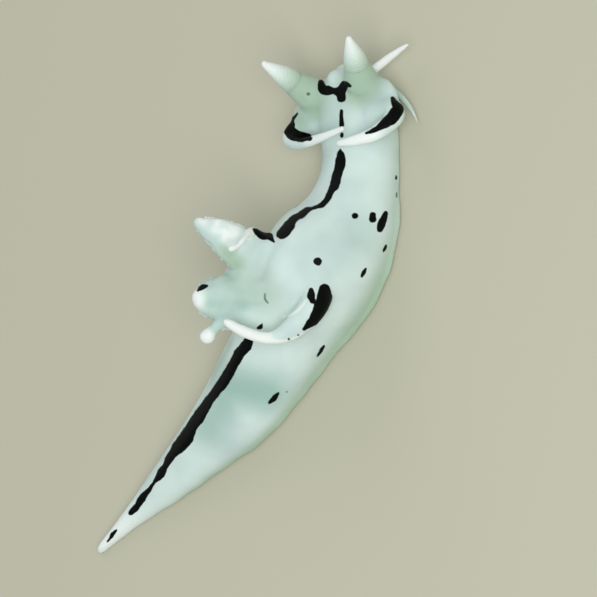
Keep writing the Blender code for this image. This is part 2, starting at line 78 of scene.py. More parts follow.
def sight_line(x, y):
    """The direction from the eye through a place in the photograph."""
    middle = PHOTO_SIDE / 2
    across = sight_right * ((x - middle) / FOCAL_PIXELS)
    return (across + sight_up * ((middle - y) / FOCAL_PIXELS) - sight_back).normalized()


# The skin: one soft, moist hide without a seam over the head, neck, trunk, tail and
# foot and over every process that grows from them. All of it is live tissue with no
# shell, filled out by the fluid within, and it rests on the flat creeping sole.
BODY_SIDES = 80
BODY_RINGS = 200
SPINE_STEPS = 24
# Each station is the middle line on the floor (x, y), half the width and the height in
# millimetres, then how sharp the back is, from the snout to the tip of the tail.
BODY_STATIONS = (
    (1.70, -9.37, 0.80, 1.50, 0.9),
    (1.15, -8.76, 1.28, 1.72, 0.8),
    (0.48, -8.10, 1.50, 1.75, 0.8),
    (-0.44, -7.10, 1.48, 1.72, 0.9),
    (-1.06, -6.00, 1.58, 1.85, 1.1),
    (-1.55, -4.80, 1.92, 2.65, 1.4),
    (-1.72, -3.50, 2.20, 3.60, 1.4),
    (-1.80, -2.00, 2.10, 3.75, 1.3),
    (-1.66, -0.50, 1.75, 3.10, 1.3),
    (-1.22, 0.97, 1.82, 2.55, 1.5),
    (-0.70, 3.40, 1.62, 1.98, 1.6),
    (0.10, 5.48, 1.18, 1.50, 1.5),
    (1.00, 7.54, 0.82, 0.98, 1.3),
    (1.84, 9.44, 0.40, 0.64, 1.0),
    (2.72, 11.49, 0.12, 0.36, 1.0),
)
SNOUT_ROUNDING = 1.2
TAIL_ROUNDING = 0.35
HEAD_LENGTH = 2.6
WIDEST_HEIGHT = 0.34
SNOUT_WIDEST_HEIGHT = 0.72
FLANK_FULLNESS = 0.11
# How far before and behind a place its direction along the body is read.
BODY_REACH = 0.25

FOOT_START = 0.3
FOOT_THICKNESS = 0.30
FOOT_MARGIN = 0.01
FOOT_WAVES = 17
FOOT_WAVE_DEPTH = 0.02
FOOT_WAVE_SHIFT = 1.3
SOLE_FLATNESS = 1.12
SOLE_SQUARENESS = 0.5
FOOT_SIDES = 48
FOOT_RINGS = 160


def between(a, b, c, d, t):
    """A smooth value from b to c, with a and d as the neighbours."""
    return 0.5 * (
        2 * b
        + (c - a) * t
        + (2 * a - 5 * b + 4 * c - d) * t * t
        + (3 * b - a - 3 * c + d) * t * t * t
    )


def smooth_rows(rows, steps):
    """Rows of numbers read from a smooth curve through the given rows."""
    padded = [rows[0], *rows, rows[-1]]
    found = []
    for i in range(1, len(padded) - 2):
        a, b, c, d = padded[i - 1 : i + 3]
        for step in range(steps):
            found.append([between(*values, step / steps) for values in zip(a, b, c, d)])
    found.append(list(rows[-1]))
    return found


class Line:
    """A smooth line of rows, read by the distance from its start."""

    def __init__(self, rows, steps, width):
        self.rows = smooth_rows(rows, steps)
        self.distance = [0.0]
        for before, row in zip(self.rows, self.rows[1:]):
            step = math.dist(before[:width], row[:width])
            self.distance.append(self.distance[-1] + step)
        self.length = self.distance[-1]

    def read(self, along):
        along = min(max(along, 0.0), self.length)
        i = min(max(int(np.searchsorted(self.distance, along)), 1), len(self.rows) - 1)
        t = (along - self.distance[i - 1]) / (self.distance[i] - self.distance[i - 1])
        return [p + (q - p) * t for p, q in zip(self.rows[i - 1], self.rows[i])]


spine = Line(BODY_STATIONS, SPINE_STEPS, 2)


def body_axes(along):
    """The point on the floor, and the directions forward and to the right."""
    along = max(along, 0.0)
    front = Vector(spine.read(along - BODY_REACH)[:2])
    rear = Vector(spine.read(along + BODY_REACH)[:2])
    forward = (front - rear).normalized().to_3d()
    x, y = spine.read(along)[:2]
    return Vector((x, y, 0)), forward, forward.cross(upright)


def body_point(measures):
    """The point so far back from the snout, to the right, and above the floor."""
    along, out, up = measures
    base, forward, right = body_axes(along)
    return base + forward * max(-along, 0.0) + right * out + upright * up


def rounding(along):
    """How far the ends have closed: 0 at each tip, 1 along the body."""
    head = 1 - min(along / SNOUT_ROUNDING, 1.0)
    tail = 1 - min((spine.length - along) / TAIL_ROUNDING, 1.0)
    return math.sqrt(max(0.0, 1 - head * head)) * math.sqrt(max(0.0, 1 - tail * tail))


POLE_HEIGHT = 0.99999


def drawn_out_ball(sides, rings, place):
    """A closed form: a ball whose vertices place() lays along a line."""
    bm = bmesh.new()
    bmesh.ops.create_uvsphere(bm, u_segments=sides, v_segments=rings, radius=1.0)
    for vertex in bm.verts:
        share = (1 - vertex.co.z) / 2
        pole = abs(vertex.co.z) > POLE_HEIGHT
        vertex.co = place(share, math.atan2(vertex.co.y, vertex.co.x), pole)
    bmesh.ops.recalc_face_normals(bm, faces=bm.faces)
    if bm.calc_volume(signed=True) < 0:
        bmesh.ops.reverse_faces(bm, faces=bm.faces)
    return bm


def body_section(share, angle, pole):
    """A point of the body: angle 0 is the right side and 90 degrees the back."""
    along = share * spine.length
    closed = rounding(along)
    half, height, sharp = spine.read(along)[2:]
    base, _, right = body_axes(along)
    blend = min(along / HEAD_LENGTH, 1.0)
    middle = height * (SNOUT_WIDEST_HEIGHT + (WIDEST_HEIGHT - SNOUT_WIDEST_HEIGHT) * blend)
    if pole:
        return base + upright * middle
    side, up = math.cos(angle), math.sin(angle)
    power = sharp if up >= 0 else FLANK_FULLNESS
    room = height - middle if up >= 0 else middle
    out = half * closed * math.copysign(abs(side) ** power, side)
    return base + right * out + upright * (middle + room * closed * up)


def foot_section(share, angle, pole):
    """A point of the foot: flat below, with a thin, gently waved margin."""
    along = share * spine.length
    closed = rounding(along)
    along = max(along, FOOT_START + along * (1 - FOOT_START / HEAD_LENGTH))
    base, _, right = body_axes(along)
    if pole:
        return base + upright * (FOOT_THICKNESS / 2)
    side, up = math.cos(angle), math.sin(angle)
    shift = math.copysign(FOOT_WAVE_SHIFT, side)
    wave = FOOT_WAVE_DEPTH * math.sin(math.tau * FOOT_WAVES * share + shift)
    half = spine.read(along)[2]
    half = (half + FOOT_MARGIN + wave * min(half, 1.0)) * closed
    out = half * math.copysign(abs(side) ** SOLE_SQUARENESS, side)
    rise = math.copysign(min(abs(up) ** SOLE_SQUARENESS * SOLE_FLATNESS, 1.0), up)
    z = FOOT_THICKNESS / 2 * (1 + rise * closed)
    return base + right * out + upright * z


# The processes, each a soft finger: back from the snout, to the right of the middle
# line, above the floor and the radius there, from the root inside the body to the tip.
ORAL_TENTACLES = {
    "right": (
        (0.90, 0.80, 0.98, 0.25),
        (0.52, 1.45, 0.95, 0.20),
        (0.24, 2.20, 0.92, 0.17),
        (0.01, 3.08, 0.95, 0.10),
    ),
    "left": (
        (0.90, -0.80, 0.98, 0.25),
        (0.48, -1.45, 0.95, 0.20),
        (0.12, -2.10, 0.92, 0.17),
        (-0.14, -2.90, 0.92, 0.10),
    ),
}
FOOT_CORNERS = {
    "right": (
        (0.90, 0.80, 0.24, 0.24),
        (1.15, 1.36, 0.22, 0.20),
        (1.68, 1.92, 0.22, 0.15),
        (2.25, 2.26, 0.22, 0.12),
        (2.78, 2.52, 0.24, 0.07),
    ),
    "left": (
        (0.85, -0.80, 0.24, 0.24),
        (1.00, -1.45, 0.22, 0.20),
        (1.35, -1.85, 0.22, 0.15),
        (1.75, -2.05, 0.22, 0.12),
        (2.12, -2.12, 0.24, 0.07),
    ),
}
HEAD_APPENDAGES = {
    "right": (
        (2.25, 1.05, 1.20, 0.46),
        (2.30, 1.62, 1.20, 0.46),
        (2.42, 2.14, 1.26, 0.43),
        (2.76, 2.32, 1.48, 0.36),
        (3.12, 1.80, 1.92, 0.27),
        (3.26, 1.08, 2.22, 0.20),
        (3.30, 0.42, 2.35, 0.12),
    ),
    "left": (
        (1.95, -1.05, 1.20, 0.46),
        (1.86, -1.62, 1.20, 0.46),
        (1.78, -2.18, 1.24, 0.43),
        (2.06, -2.44, 1.38, 0.35),
        (2.58, -1.80, 1.72, 0.22),
        (2.84, -0.50, 2.16, 0.16),
        (2.84, 0.60, 2.36, 0.10),
    ),
}
GILL_APPENDAGES = {
    "right": (
        (8.20, 1.30, 2.45, 0.56),
        (8.70, 1.76, 2.80, 0.54),
        (9.50, 1.80, 3.20, 0.45),
        (10.10, 1.59, 3.76, 0.245),
        (10.31, 1.14, 4.55, 0.22),
        (10.38, 0.66, 5.20, 0.155),
    ),
    "left": (
        (7.80, -1.10, 2.30, 0.44),
        (7.62, -1.28, 2.95, 0.34),
        (7.52, -1.26, 3.60, 0.26),
        (7.38, -1.16, 4.28, 0.20),
        (7.63, -0.79, 4.95, 0.10),
        (7.93, -0.77, 5.12, 0.10),
        (8.13, -0.80, 5.38, 0.13),
    ),
}
RHINOPHORE_ROOTS = {"right": (1.30, 0.98, 1.15), "left": (1.05, -0.90, 1.15)}
RHINOPHORE_TIPS = {"right": (-0.04, 2.18, 3.32), "left": (-0.26, -1.86, 3.32)}
STALK = ((0.0, 0.60), (0.20, 0.64), (0.34, 0.57), (0.47, 0.485), (0.57, 0.36))
GILL_PATHS = {
    "gill_front": ((8.32, -0.35, 2.60), (8.22, -1.22, 4.05), (7.98, -2.00, 4.80), (7.98, -2.85, 5.10)),
    "gill_left": (
        (9.50, -0.80, 2.40),
        (9.76, -0.85, 3.15),
        (10.23, -0.83, 3.90),
        (10.40, -0.87, 4.28),
        (10.60, -0.94, 4.68),
    ),
    "gill_rear": (
        (9.89, 0.25, 2.40),
        (10.27, 0.07, 3.70),
        (10.92, -0.14, 4.30),
        (11.37, -0.16, 4.38),
        (11.72, -0.19, 4.40),
    ),
}
GILL_STEMS = {
    "gill_front": (1.00, 0.80, 0.56, 0.28),
    "gill_left": (1.45, 1.36, 0.96, 0.85, 0.73),
    "gill_rear": (0.95, 0.48, 0.25, 0.20, 0.28),
}
GILL_FLATNESS = {"gill_front": 0.55, "gill_left": 0.80, "gill_rear": 0.95}
VENT = ((9.05, -0.15, 2.6, 0.55), (9.05, -0.15, 3.2, 0.40), (9.08, -0.20, 3.6, 0.22))
# Cushions of flesh: two lips, the brow, two cheeks and the left flank below the gills.
# Each is its place, then its size across, from front to back and up.
CUSHIONS = (
    ((0.14, 0.13, 0.90), (0.28, 0.44, 0.50)),
    ((0.14, -0.13, 0.90), (0.28, 0.44, 0.50)),
    ((0.60, 0.02, 1.34), (0.90, 0.88, 0.90)),
    ((1.95, 1.35, 1.12), (2.10, 2.10, 0.95)),
    ((1.50, -1.45, 1.12), (2.10, 1.90, 0.95)),
    ((9.40, -1.00, 1.90), (2.00, 4.20, 3.00)),
)
FINGER_SIDES = 32
FINGER_RINGS = 60
FINGER_STEPS = 10
FINGER_REACH = 0.05
# The length of a finger's round end in radii of its tip, and where the thin side of one
# faces that is as thick as it is broad.
FINGER_CAP = 1.6
FINGER_FACING = Vector((0.3, 0.5, 0.81))
CUSHION_SIDES = 32


class Finger:
    """A tapering form along a smooth line of (x, y, z, radius), round at its tip."""

    def __init__(self, rows, flatness=1.0, facing=FINGER_FACING):
        tip, before = Vector(rows[-1][:3]), Vector(rows[-2][:3])
        end = tip + (tip - before).normalized() * rows[-1][3]
        self.line = Line([*rows, (*end, rows[-1][3])], FINGER_STEPS, 3)
        self.flatness = flatness
        self.facing = facing
        self.cap = FINGER_CAP * rows[-1][3]

    def axes(self, along):
        """The point, the way to the tip, the thin direction and the broad one."""
        point = Vector(self.line.read(along)[:3])
        front = Vector(self.line.read(along + FINGER_REACH)[:3])
        rear = Vector(self.line.read(along - FINGER_REACH)[:3])
        way = (front - rear).normalized()
        thin = (self.facing - way * self.facing.dot(way)).normalized()
        return point, way, thin, way.cross(thin)

    def radius(self, along):
        """The radius there, closing round both ends."""
        closed = max(0.0, 1 - max(0.0, 1 - (self.line.length - along) / self.cap) ** 2)
        start = max(0.0, 1 - max(0.0, 1 - along / self.cap) ** 2)
        return self.line.read(along)[3] * math.sqrt(closed * start)

    def place(self, share, angle, pole):
        """A point of the surface: angle 0 is the broad side and 90 degrees the thin one."""
        along = share * self.line.length
        point, way, thin, broad = self.axes(along)
        if pole:
            return point
        spoke = broad * math.cos(angle) + thin * self.flatness * math.sin(angle)
        return point + spoke * self.radius(along)

    def form(self, sides=FINGER_SIDES, rings=FINGER_RINGS):
        return drawn_out_ball(sides, rings, self.place)


def in_body(rows):
    """Rows of body measures and a radius as rows in the animal's own place."""
    return [(*body_point(row[:3]), row[3]) for row in rows]


def rhinophore_stalk(side):
    """The rows of a stalk, along the straight line to the tip of its club."""
    root, tip = body_point(RHINOPHORE_ROOTS[side]), body_point(RHINOPHORE_TIPS[side])
    return [(*root.lerp(tip, share), radius) for share, radius in STALK]


def gill_stem(name):
    """The broad stem of one gill, its flat side turned up and to the right."""
    path = [body_point(row) for row in GILL_PATHS[name]]
    rising = (path[-1] - path[0]).normalized()
    facing = (sight_back - rising * rising.dot(sight_back)).normalized()
    rows = [(*point, radius) for point, radius in zip(path, GILL_STEMS[name])]
    return Finger(rows, GILL_FLATNESS[name], facing)


def cushion(measures, size):
    """One soft swelling, as a ball drawn out to its size."""
    _, forward, right = body_axes(measures[0])
    middle = body_point(measures)

    def place(share, angle, pole):
        ring = 0 if pole else math.sqrt(max(0.0, 1 - (1 - 2 * share) ** 2))
        x, y = ring * math.cos(angle), ring * math.sin(angle)
        across, depth, tall = size
        offset = right * (x * across) + forward * (y * depth)
        return middle + (offset + upright * ((1 - 2 * share) * tall)) / 2

    return drawn_out_ball(CUSHION_SIDES, CUSHION_SIDES, place)


fingers = {}
for side in ("right", "left"):
    fingers["oral_tentacle_" + side] = Finger(in_body(ORAL_TENTACLES[side]))
    fingers["foot_corner_" + side] = Finger(in_body(FOOT_CORNERS[side]))
    fingers["head_appendage_" + side] = Finger(in_body(HEAD_APPENDAGES[side]))
    fingers["gill_appendage_" + side] = Finger(in_body(GILL_APPENDAGES[side]))
    fingers["rhinophore_" + side] = Finger(rhinophore_stalk(side))
for gill_name in GILL_PATHS:
    fingers[gill_name] = gill_stem(gill_name)
fingers["vent"] = Finger(in_body(VENT))

SKIN_VOXEL = 0.05
SKIN_TRIANGLES = 185000
EVEN_OUT = 6
JOINT_SMOOTHING = 60
# How far up a process and out from its middle line the joint is evened out, in
# millimetres for a thin one, and in its own radii for a broad one.
JOINT_REACH = 1.1
JOINT_ROOM = 1.5
BROAD_REACH = 1.1
BROAD_ROOM = 2.0
# The reach where the evening out has faded away and the room where it is full, as
# shares of the reach and the room above.
JOINT_FADE = 1.45
JOINT_CORE = 0.6
# The heights between which the crease over the foot is evened out: from the top down to
# where it is full, and from the floor up.
CREASE_TOP = (1.2, 0.8)
CREASE_FOOT = (0.06, 0.2)
WEIGHT_LEVELS = 20
SAME_PLACE = 1e-9


def mesh_object(name, mesh):
    """An object in the scene round a mesh."""
    item = bpy.data.objects.new(name, mesh)
    bpy.context.scene.collection.objects.link(item)
    return item


def baked(item):
    """Replace an object's mesh by what its modifiers make of it."""
    graph = bpy.context.evaluated_depsgraph_get()
    mesh = bpy.data.meshes.new_from_object(item.evaluated_get(graph))
    item.modifiers.clear()
    item.vertex_groups.clear()
    item.data = mesh


def fused(name, forms, voxel):
    """One closed skin round several forms that run into each other, in millimetres."""
    whole = bmesh.new()
    for form in forms:
        part = bpy.data.meshes.new("part")
        form.to_mesh(part)
        form.free()
        whole.from_mesh(part)
        bpy.data.meshes.remove(part)
    mesh = bpy.data.meshes.new(name)
    whole.to_mesh(mesh)
    whole.free()
    item = mesh_object(name, mesh)
    remesh = item.modifiers.new("fuse", "REMESH")
    remesh.mode = "VOXEL"
    remesh.voxel_size = voxel
    baked(item)
    return item


def corners(item):
    """The vertices as an array."""
    found = np.zeros(len(item.data.vertices) * 3)
    item.data.vertices.foreach_get("co", found)
    return found.reshape(-1, 3)


def outward(item):
    """The way out of the surface at each vertex."""
    found = np.zeros(len(item.data.vertices) * 3)
    item.data.vertices.foreach_get("normal", found)
    return found.reshape(-1, 3)


def smoothed(item, turns, weights=None):
    """Even the surface out, where the weights say so."""
    smooth = item.modifiers.new("even_out", "SMOOTH")
    smooth.iterations = turns
    if weights is not None:
        group = item.vertex_groups.new(name="even_out")
        levels = np.round(np.clip(weights, 0, 1) * WEIGHT_LEVELS).astype(int)
        for level in range(1, WEIGHT_LEVELS + 1):
            chosen = np.flatnonzero(levels == level).tolist()
            group.add(chosen, level / WEIGHT_LEVELS, "REPLACE")
        smooth.vertex_group = group.name
    baked(item)


def thinned(item, triangles):
    """Fewer triangles, fewest where the surface is flattest."""
    item.data.calc_loop_triangles()
    share = triangles / len(item.data.loop_triangles)
    if share < 1:
        thin = item.modifiers.new("thin", "DECIMATE")
        thin.ratio = share
        baked(item)


def soft_step(low, high, values):
    """From 0 at low to 1 at high, easing in and out."""
    share = np.clip((values - low) / (high - low), 0, 1)
    return share * share * (3 - 2 * share)


def along_line(points, rows):
    """Each point's distance from a line of places, and how far along it lies, 0 to 1."""
    places = np.array([row[:3] for row in rows])
    steps = np.linalg.norm(np.diff(places, axis=0), axis=1)
    starts = np.concatenate(([0.0], np.cumsum(steps)))
    nearest = np.full(len(points), np.inf)
    along = np.zeros(len(points))
    for a, b, start, step in zip(places, places[1:], starts, steps):
        if step < SAME_PLACE:
            continue
        t = np.clip((points - a) @ (b - a) / (step * step), 0, 1)
        distance = np.linalg.norm(points - (a + t[:, None] * (b - a)), axis=1)
        better = distance < nearest
        nearest[better] = distance[better]
        along[better] = (start + t[better] * step) / starts[-1]
    return nearest, along


def stroke_edge(points, rows):
    """Each point's distance from a stroke's edge: below 0 inside it."""
    nearest = np.full(len(points), np.inf)
    for a, b in zip(rows, rows[1:]):
        start, run = np.array(a[:-1]), np.array(b[:-1]) - np.array(a[:-1])
        t = np.clip((points - start) @ run / max(float(run @ run), SAME_PLACE), 0, 1)
        distance = np.linalg.norm(points - (start + t[:, None] * run), axis=1)
        nearest = np.minimum(nearest, distance - (a[-1] + (b[-1] - a[-1]) * t))
    return nearest


forms = [
    drawn_out_ball(BODY_SIDES, BODY_RINGS, body_section),
    drawn_out_ball(FOOT_SIDES, FOOT_RINGS, foot_section),
    *(cushion(place, size) for place, size in CUSHIONS),
    *(finger.form() for finger in fingers.values()),
]
skin = fused("skin", forms, SKIN_VOXEL)
places = corners(skin)
near_root = np.zeros(len(places))
for name, finger in fingers.items():
    distance, along = along_line(places, finger.line.rows)
    along_mm = along * finger.line.length
    broad = finger.line.rows[0][3]
    reach = max(JOINT_REACH, BROAD_REACH * broad)
    room = max(JOINT_ROOM, BROAD_ROOM * broad)
    root = soft_step(JOINT_FADE * reach, reach, along_mm)
    near_root = np.maximum(near_root, root * soft_step(room, JOINT_CORE * room, distance))
foot_crease = soft_step(*CREASE_TOP, places[:, 2]) * soft_step(*CREASE_FOOT, places[:, 2])
smoothed(skin, JOINT_SMOOTHING, np.maximum(near_root, foot_crease))
smoothed(skin, EVEN_OUT)


# The lips are a soft pad on the front of the snout, parted by the line of the mouth:
# places on that line as the distance to the right and the height above the floor.
MOUTH_LINES = (((0.0, 0.86), (0.0, 0.58), (-0.20, 0.38)), ((0.0, 0.58), (0.20, 0.38)))
MOUTH_BACK = -0.8
LIP_RISE = 0.08
LIP_SIZE = (0.34, 0.10)
MOUTH_DEPTH = 0.17
MOUTH_WIDTH = 0.085


def off_mouth(points):
    """Each point's distance from the line of the mouth, seen from the front."""
    base, forward, right = (np.array(axis) for axis in body_axes(0.0))
    flat = np.column_stack(((points - base) @ right, points[:, 2]))
    edges = [stroke_edge(flat, [(*place, 0.0) for place in line]) for line in MOUTH_LINES]
    in_front = (points - base) @ forward > MOUTH_BACK
    return np.where(in_front, np.minimum.reduce(edges), np.inf)


places = corners(skin)
off_line = off_mouth(places)
push = LIP_RISE * soft_step(*LIP_SIZE, off_line)
push -= MOUTH_DEPTH * soft_step(MOUTH_WIDTH, 0.0, off_line)
places += push[:, None] * np.array(body_axes(0.0)[1])

# The stems of the gills are softly lumpy towards their tips: the size and height of the
# lumps, and where along a stem and within how many of its radii they come in.
LUMP_MM = 0.36
LUMP_HEIGHT = 0.05
LUMPY_SHARE = (0.35, 0.70)
LUMPY_RADII = (1.4, 1.2)
# A distance counted in radii takes no radius as thinner than this.
THINNEST = 0.1


def soft_noise(points, size_mm):
    """Smooth noise from -1 to 1 with features of about that size."""
    return np.array([noise.noise(Vector(point) / size_mm) for point in points])


def from_finger(points, finger):
    """Each point's distance from a finger in its radii, and the share along it."""
    distance, along = along_line(points, finger.line.rows)
    radii = [max(row[3], THINNEST) for row in finger.line.rows]
    return distance / np.interp(along * finger.line.length, finger.line.distance, radii), along


lumpy = np.zeros(len(places))
for name in GILL_PATHS:
    off, along = from_finger(places, fingers[name])
    lumpy = np.maximum(lumpy, soft_step(*LUMPY_RADII, off) * soft_step(*LUMPY_SHARE, along))
raised = lumpy > 0
height = LUMP_HEIGHT * lumpy[raised] * soft_noise(places[raised], LUMP_MM)
places[raised] += height[:, None] * outward(skin)[raised]
skin.data.vertices.foreach_set("co", places.ravel())
skin.data.update()
thinned(skin, SKIN_TRIANGLES)

# The markings, as they lie in the photograph: places and half widths in its pixels.
# Each is laid on the skin along the lines of sight, so it keeps its real width.
BLACK_STROKES = {
    "brow": (
        (321, 81, 2.4),
        (321.8, 86, 4.2),
        (324, 90.5, 5),
        (328.5, 90.6, 4.8),
        (332.9, 90.6, 3.6),
        (337, 91.4, 4.4),
        (341, 91, 4.8),
        (343.2, 87.4, 4.4),
        (345.2, 84, 3.2),
        (350.2, 86.2, 1.4),
    ),
    "brow_foot": ((341, 91, 4.5), (341.4, 98, 4.4)),
    "crown_dash": ((341.6, 110.6, 1.5), (341.3, 118, 2.1), (341.7, 125, 3.1)),
    "crown_dot": ((342, 134, 1.8), (342, 136, 2)),
    "back_line": (
        (340.3, 149, 0.9),
        (340.9, 154, 3.6),
        (340.8, 159, 5.0),
        (340.4, 164.4, 5.2),
        (339.1, 169.7, 4.9),
        (337.2, 175, 4.9),
        (335.8, 181, 5.0),
        (333.7, 186.8, 4.6),
        (331.9, 190.6, 3.6),
        (328, 198, 3.4),
        (325, 202, 3.2),
        (321, 205.1, 3.0),
        (316.2, 207.2, 2.2),
        (311.2, 208.4, 2.8),
        (306.6, 210.6, 3.4),
        (300, 215, 3.8),
        (293.9, 218.9, 4.4),
        (289.7, 225.2, 5.3),
        (284.5, 231, 6.1),
        (281.5, 233.8, 5.4),
    ),
    "tail_line": (
        (248.6, 341, 4.4),
        (245.6, 346, 5.8),
        (240.5, 352.6, 5.1),
        (237.7, 356.4, 6.1),
        (233.2, 364.9, 5.0),
        (228.4, 373.4, 5.2),
        (223.7, 381.4, 5.4),
        (217.8, 389, 5.1),
        (212.1, 396.3, 4.9),
        (209, 400.6, 4.6),
        (204.6, 407.5, 5.6),
        (199.8, 415.1, 6.2),
        (194.6, 422.6, 5.8),
        (189.8, 430.4, 6.5),
        (185, 439.3, 7.6),
        (180.6, 445.6, 6.5),
        (175, 451.3, 5.2),
        (169.4, 458.2, 4.1),
        (165, 466.4, 3.6),
        (160.6, 474.5, 3.9),
        (156.6, 479.6, 2.6),
        (153.1, 484.1, 1.5),
        (147.8, 491, 2.8),
        (142.1, 498, 3.6),
        (137.1, 506.1, 3.4),
        (130.4, 513.2, 2.5),
    ),
    "tail_dash": ((116.8, 529.6, 0.5), (112.4, 534.6, 1.9), (110.2, 538.2, 1.8), (107.6, 541.4, 0.9)),
    "head_blot_left": (
        (296.8, 113.8, 1.7),
        (291.4, 120.4, 2.6),
        (290, 125, 4.9),
        (289, 129.2, 5.4),
        (291.4, 133, 6.4),
        (295.4, 136, 5.8),
        (301, 136.8, 5.0),
        (308.4, 137.4, 3.8),
    ),
    "head_blot_right": (
        (392.8, 99.2, 2.2),
        (395.4, 104.4, 3.8),
        (398, 108.4, 5.8),
        (395.4, 113.4, 6.4),
        (392, 118, 6.4),
        (388.7, 120.7, 5.6),
        (385.4, 123.4, 4.9),
        (381.8, 125.6, 3.9),
        (376.8, 128.7, 2.9),
        (371.6, 131.3, 2.4),
        (366.1, 133.2, 1.5),
    ),
    "gill_blot": (
        (324.4, 289.5, 6.1),
        (324.6, 296, 7.7),
        (323.4, 302, 7.9),
        (320, 308.6, 6.8),
        (318.2, 313, 6.6),
        (314.6, 319, 5.9),
        (310.8, 322.8, 4.5),
        (307.3, 325.8, 3.2),
        (303.6, 329.3, 1.8),
    ),
    "gill_blot_small": ((311.2, 290.6, 2.6), (311, 295.5, 4.1), (312.2, 300.4, 3.3)),
    "gill_appendage_streak": (
        (273.8, 241.8, 0.9),
        (271, 238.6, 2.6),
        (268.6, 236.2, 3.9),
        (263.2, 235.6, 3.9),
        (258.7, 232.7, 3.6),
        (254.4, 229.5, 1.9),
    ),
    "back_triangle": ((257.6, 328, 1.0), (260.4, 326.8, 2.1), (262.2, 323.8, 1.0)),
    "spot_nearest_line": ((355, 216, 3.2), (355.5, 216, 3.2)),
    "spot_middle": ((372.6, 216, 3.8), (372.6, 219, 3.9)),
    "spot_long": ((385.8, 212.9, 2.4), (383.8, 219.1, 3.7), (380.8, 226.1, 3.6), (379.5, 229.7, 2.6)),
    "fleck_neck": ((396.5, 176, 0.6), (395.9, 179, 1.0)),
    "spot_flank": ((386.2, 244.6, 0.9), (385, 248.1, 1.4), (383.4, 251.2, 0.9)),
    "spot_low": ((365.6, 268.8, 1.4), (363.8, 272.2, 2.5), (362, 275.8, 1.6)),
    "spot_shoulder": ((317.4, 261.4, 3.9), (317.8, 261.4, 3.9)),
    "spot_behind_gill": ((323.8, 346.7, 1.5), (320.7, 351.1, 2.1), (317.1, 357.1, 1.1)),
    "spot_tail_root": ((278.4, 393.4, 1.6), (274, 398, 3), (269, 403, 1.4)),
    "fleck_tail_root": ((286.5, 392, 0.9), (287, 392, 0.9)),
    "gill_fleck": ((207, 286, 1.0), (202.2, 287.6, 2.8), (198, 290.7, 1.5)),
    "fleck_appendage_a": ((298, 335, 1.2), (298.5, 335, 1.2)),
    "fleck_appendage_b": ((288.6, 339, 1.2), (289, 339, 1.2)),
}
FAINT_STROKES = {
    "eye_left": ((308, 94, 1.6), (308.5, 94, 1.6)),
    "fleck_flank_faint": ((396.6, 192, 0.7), (396.6, 197, 0.7)),
    "vent_tick": ((265, 294, 0.7), (265, 299, 0.8), (268, 303, 0.6)),
}
WHITE_STROKES = {
    "appendage_inner": ((306, 300, 0.4), (302, 306, 1.1), (297, 311, 1.2), (290, 315, 1.0), (283, 317, 0.3)),
    "appendage_outer": (
        (303, 333, 0.3),
        (296, 337.5, 0.9),
        (287, 341, 1.5),
        (278, 342, 2.2),
        (268, 341, 2.8),
    ),
}
# The left side can't be seen in the photograph, so it is marked like the right one. Each
# spot is how far back it lies, its angle round the body, half its length and its width.
LEFT_SPOTS = (
    (5.9, 148, 0.05, 0.13),
    (6.5, 158, 0.13, 0.16),
    (7.7, 164, 0.05, 0.09),
    (9.6, 159, 0.10, 0.11),
    (12.3, 155, 0.12, 0.12),
    (14.4, 158, 0.06, 0.07),
)
LEFT_SPOT_TAPER = 0.8
# A stroke with a wider half width than this is evened out where the camera only grazes
# the skin: the cosines where that begins and is full, how far, and how often.
WIDE_STROKE = 5.05
GRAZED = (0.55, 0.25)
EDGE_ROOM = 0.12
EDGE_TURNS = 20
STROKE_STEP = 3.0
STROKE_CURVE_STEPS = 4
# On skin turned away from the camera a stroke reaches no further than this.
STROKE_SPREAD = 2.6
STROKE_ROOM = 0.12
STROKE_MARGIN = 0.25
# The distance from a mark, in millimetres, that skin far from every mark is given.
FAR_OFF = 1.0
WHITE_EDGE = (0.04, -0.03)


def on_surface(tree, x, y):
    """Where the line of sight through a place in the photograph meets the surface."""
    return tree.ray_cast(eye_mm, sight_line(x, y))[0]


def laid_stroke(tree, stroke):
    """The places on the surface under a photographed stroke, and how far it may reach."""
    length = sum(math.dist(a[:2], b[:2]) for a, b in zip(stroke, stroke[1:]))
    steps = max(2, int(length / STROKE_STEP / (len(stroke) - 1)))
    found = []
    for x, y, half in smooth_rows(stroke, steps):
        place = on_surface(tree, x, y)
        if place is not None:
            found.append((*place, STROKE_SPREAD * half / PIXELS_PER_MM + STROKE_ROOM))
    return found


def in_picture(points):
    """Where the camera sees each point, in the photograph's pixels."""
    offset = points - np.array(CAMERA_AIM_MM)
    scale = FOCAL_PIXELS / (CAMERA_DISTANCE_MM - offset @ np.array(sight_back))
    x = PHOTO_SIDE / 2 + offset @ np.array(sight_right) * scale
    y = PHOTO_SIDE / 2 - offset @ np.array(sight_up) * scale
    return np.column_stack((x, y))


def surface_tree(item):
    """The surface as a tree that lines of sight can be cast on."""
    bm = bmesh.new()
    bm.from_mesh(item.data)
    tree = BVHTree.FromBMesh(bm)
    bm.free()
    return tree


def marked(points, tree, strokes):
    """The distance from the nearest edge of any stroke, as the camera sees it."""
    edge = np.full(len(points), FAR_OFF)
    picture = in_picture(points)
    for stroke in strokes.values():
        laid = laid_stroke(tree, stroke)
        if len(laid) < 2:
            continue
        near = along_line(points, laid)[0] < max(row[3] for row in laid) + STROKE_MARGIN
        flat = stroke_edge(picture[near], smooth_rows(stroke, STROKE_CURVE_STEPS)) / PIXELS_PER_MM
        solid = stroke_edge(points[near], laid)
        edge[near] = np.minimum(edge[near], np.maximum(flat, solid))
    return edge


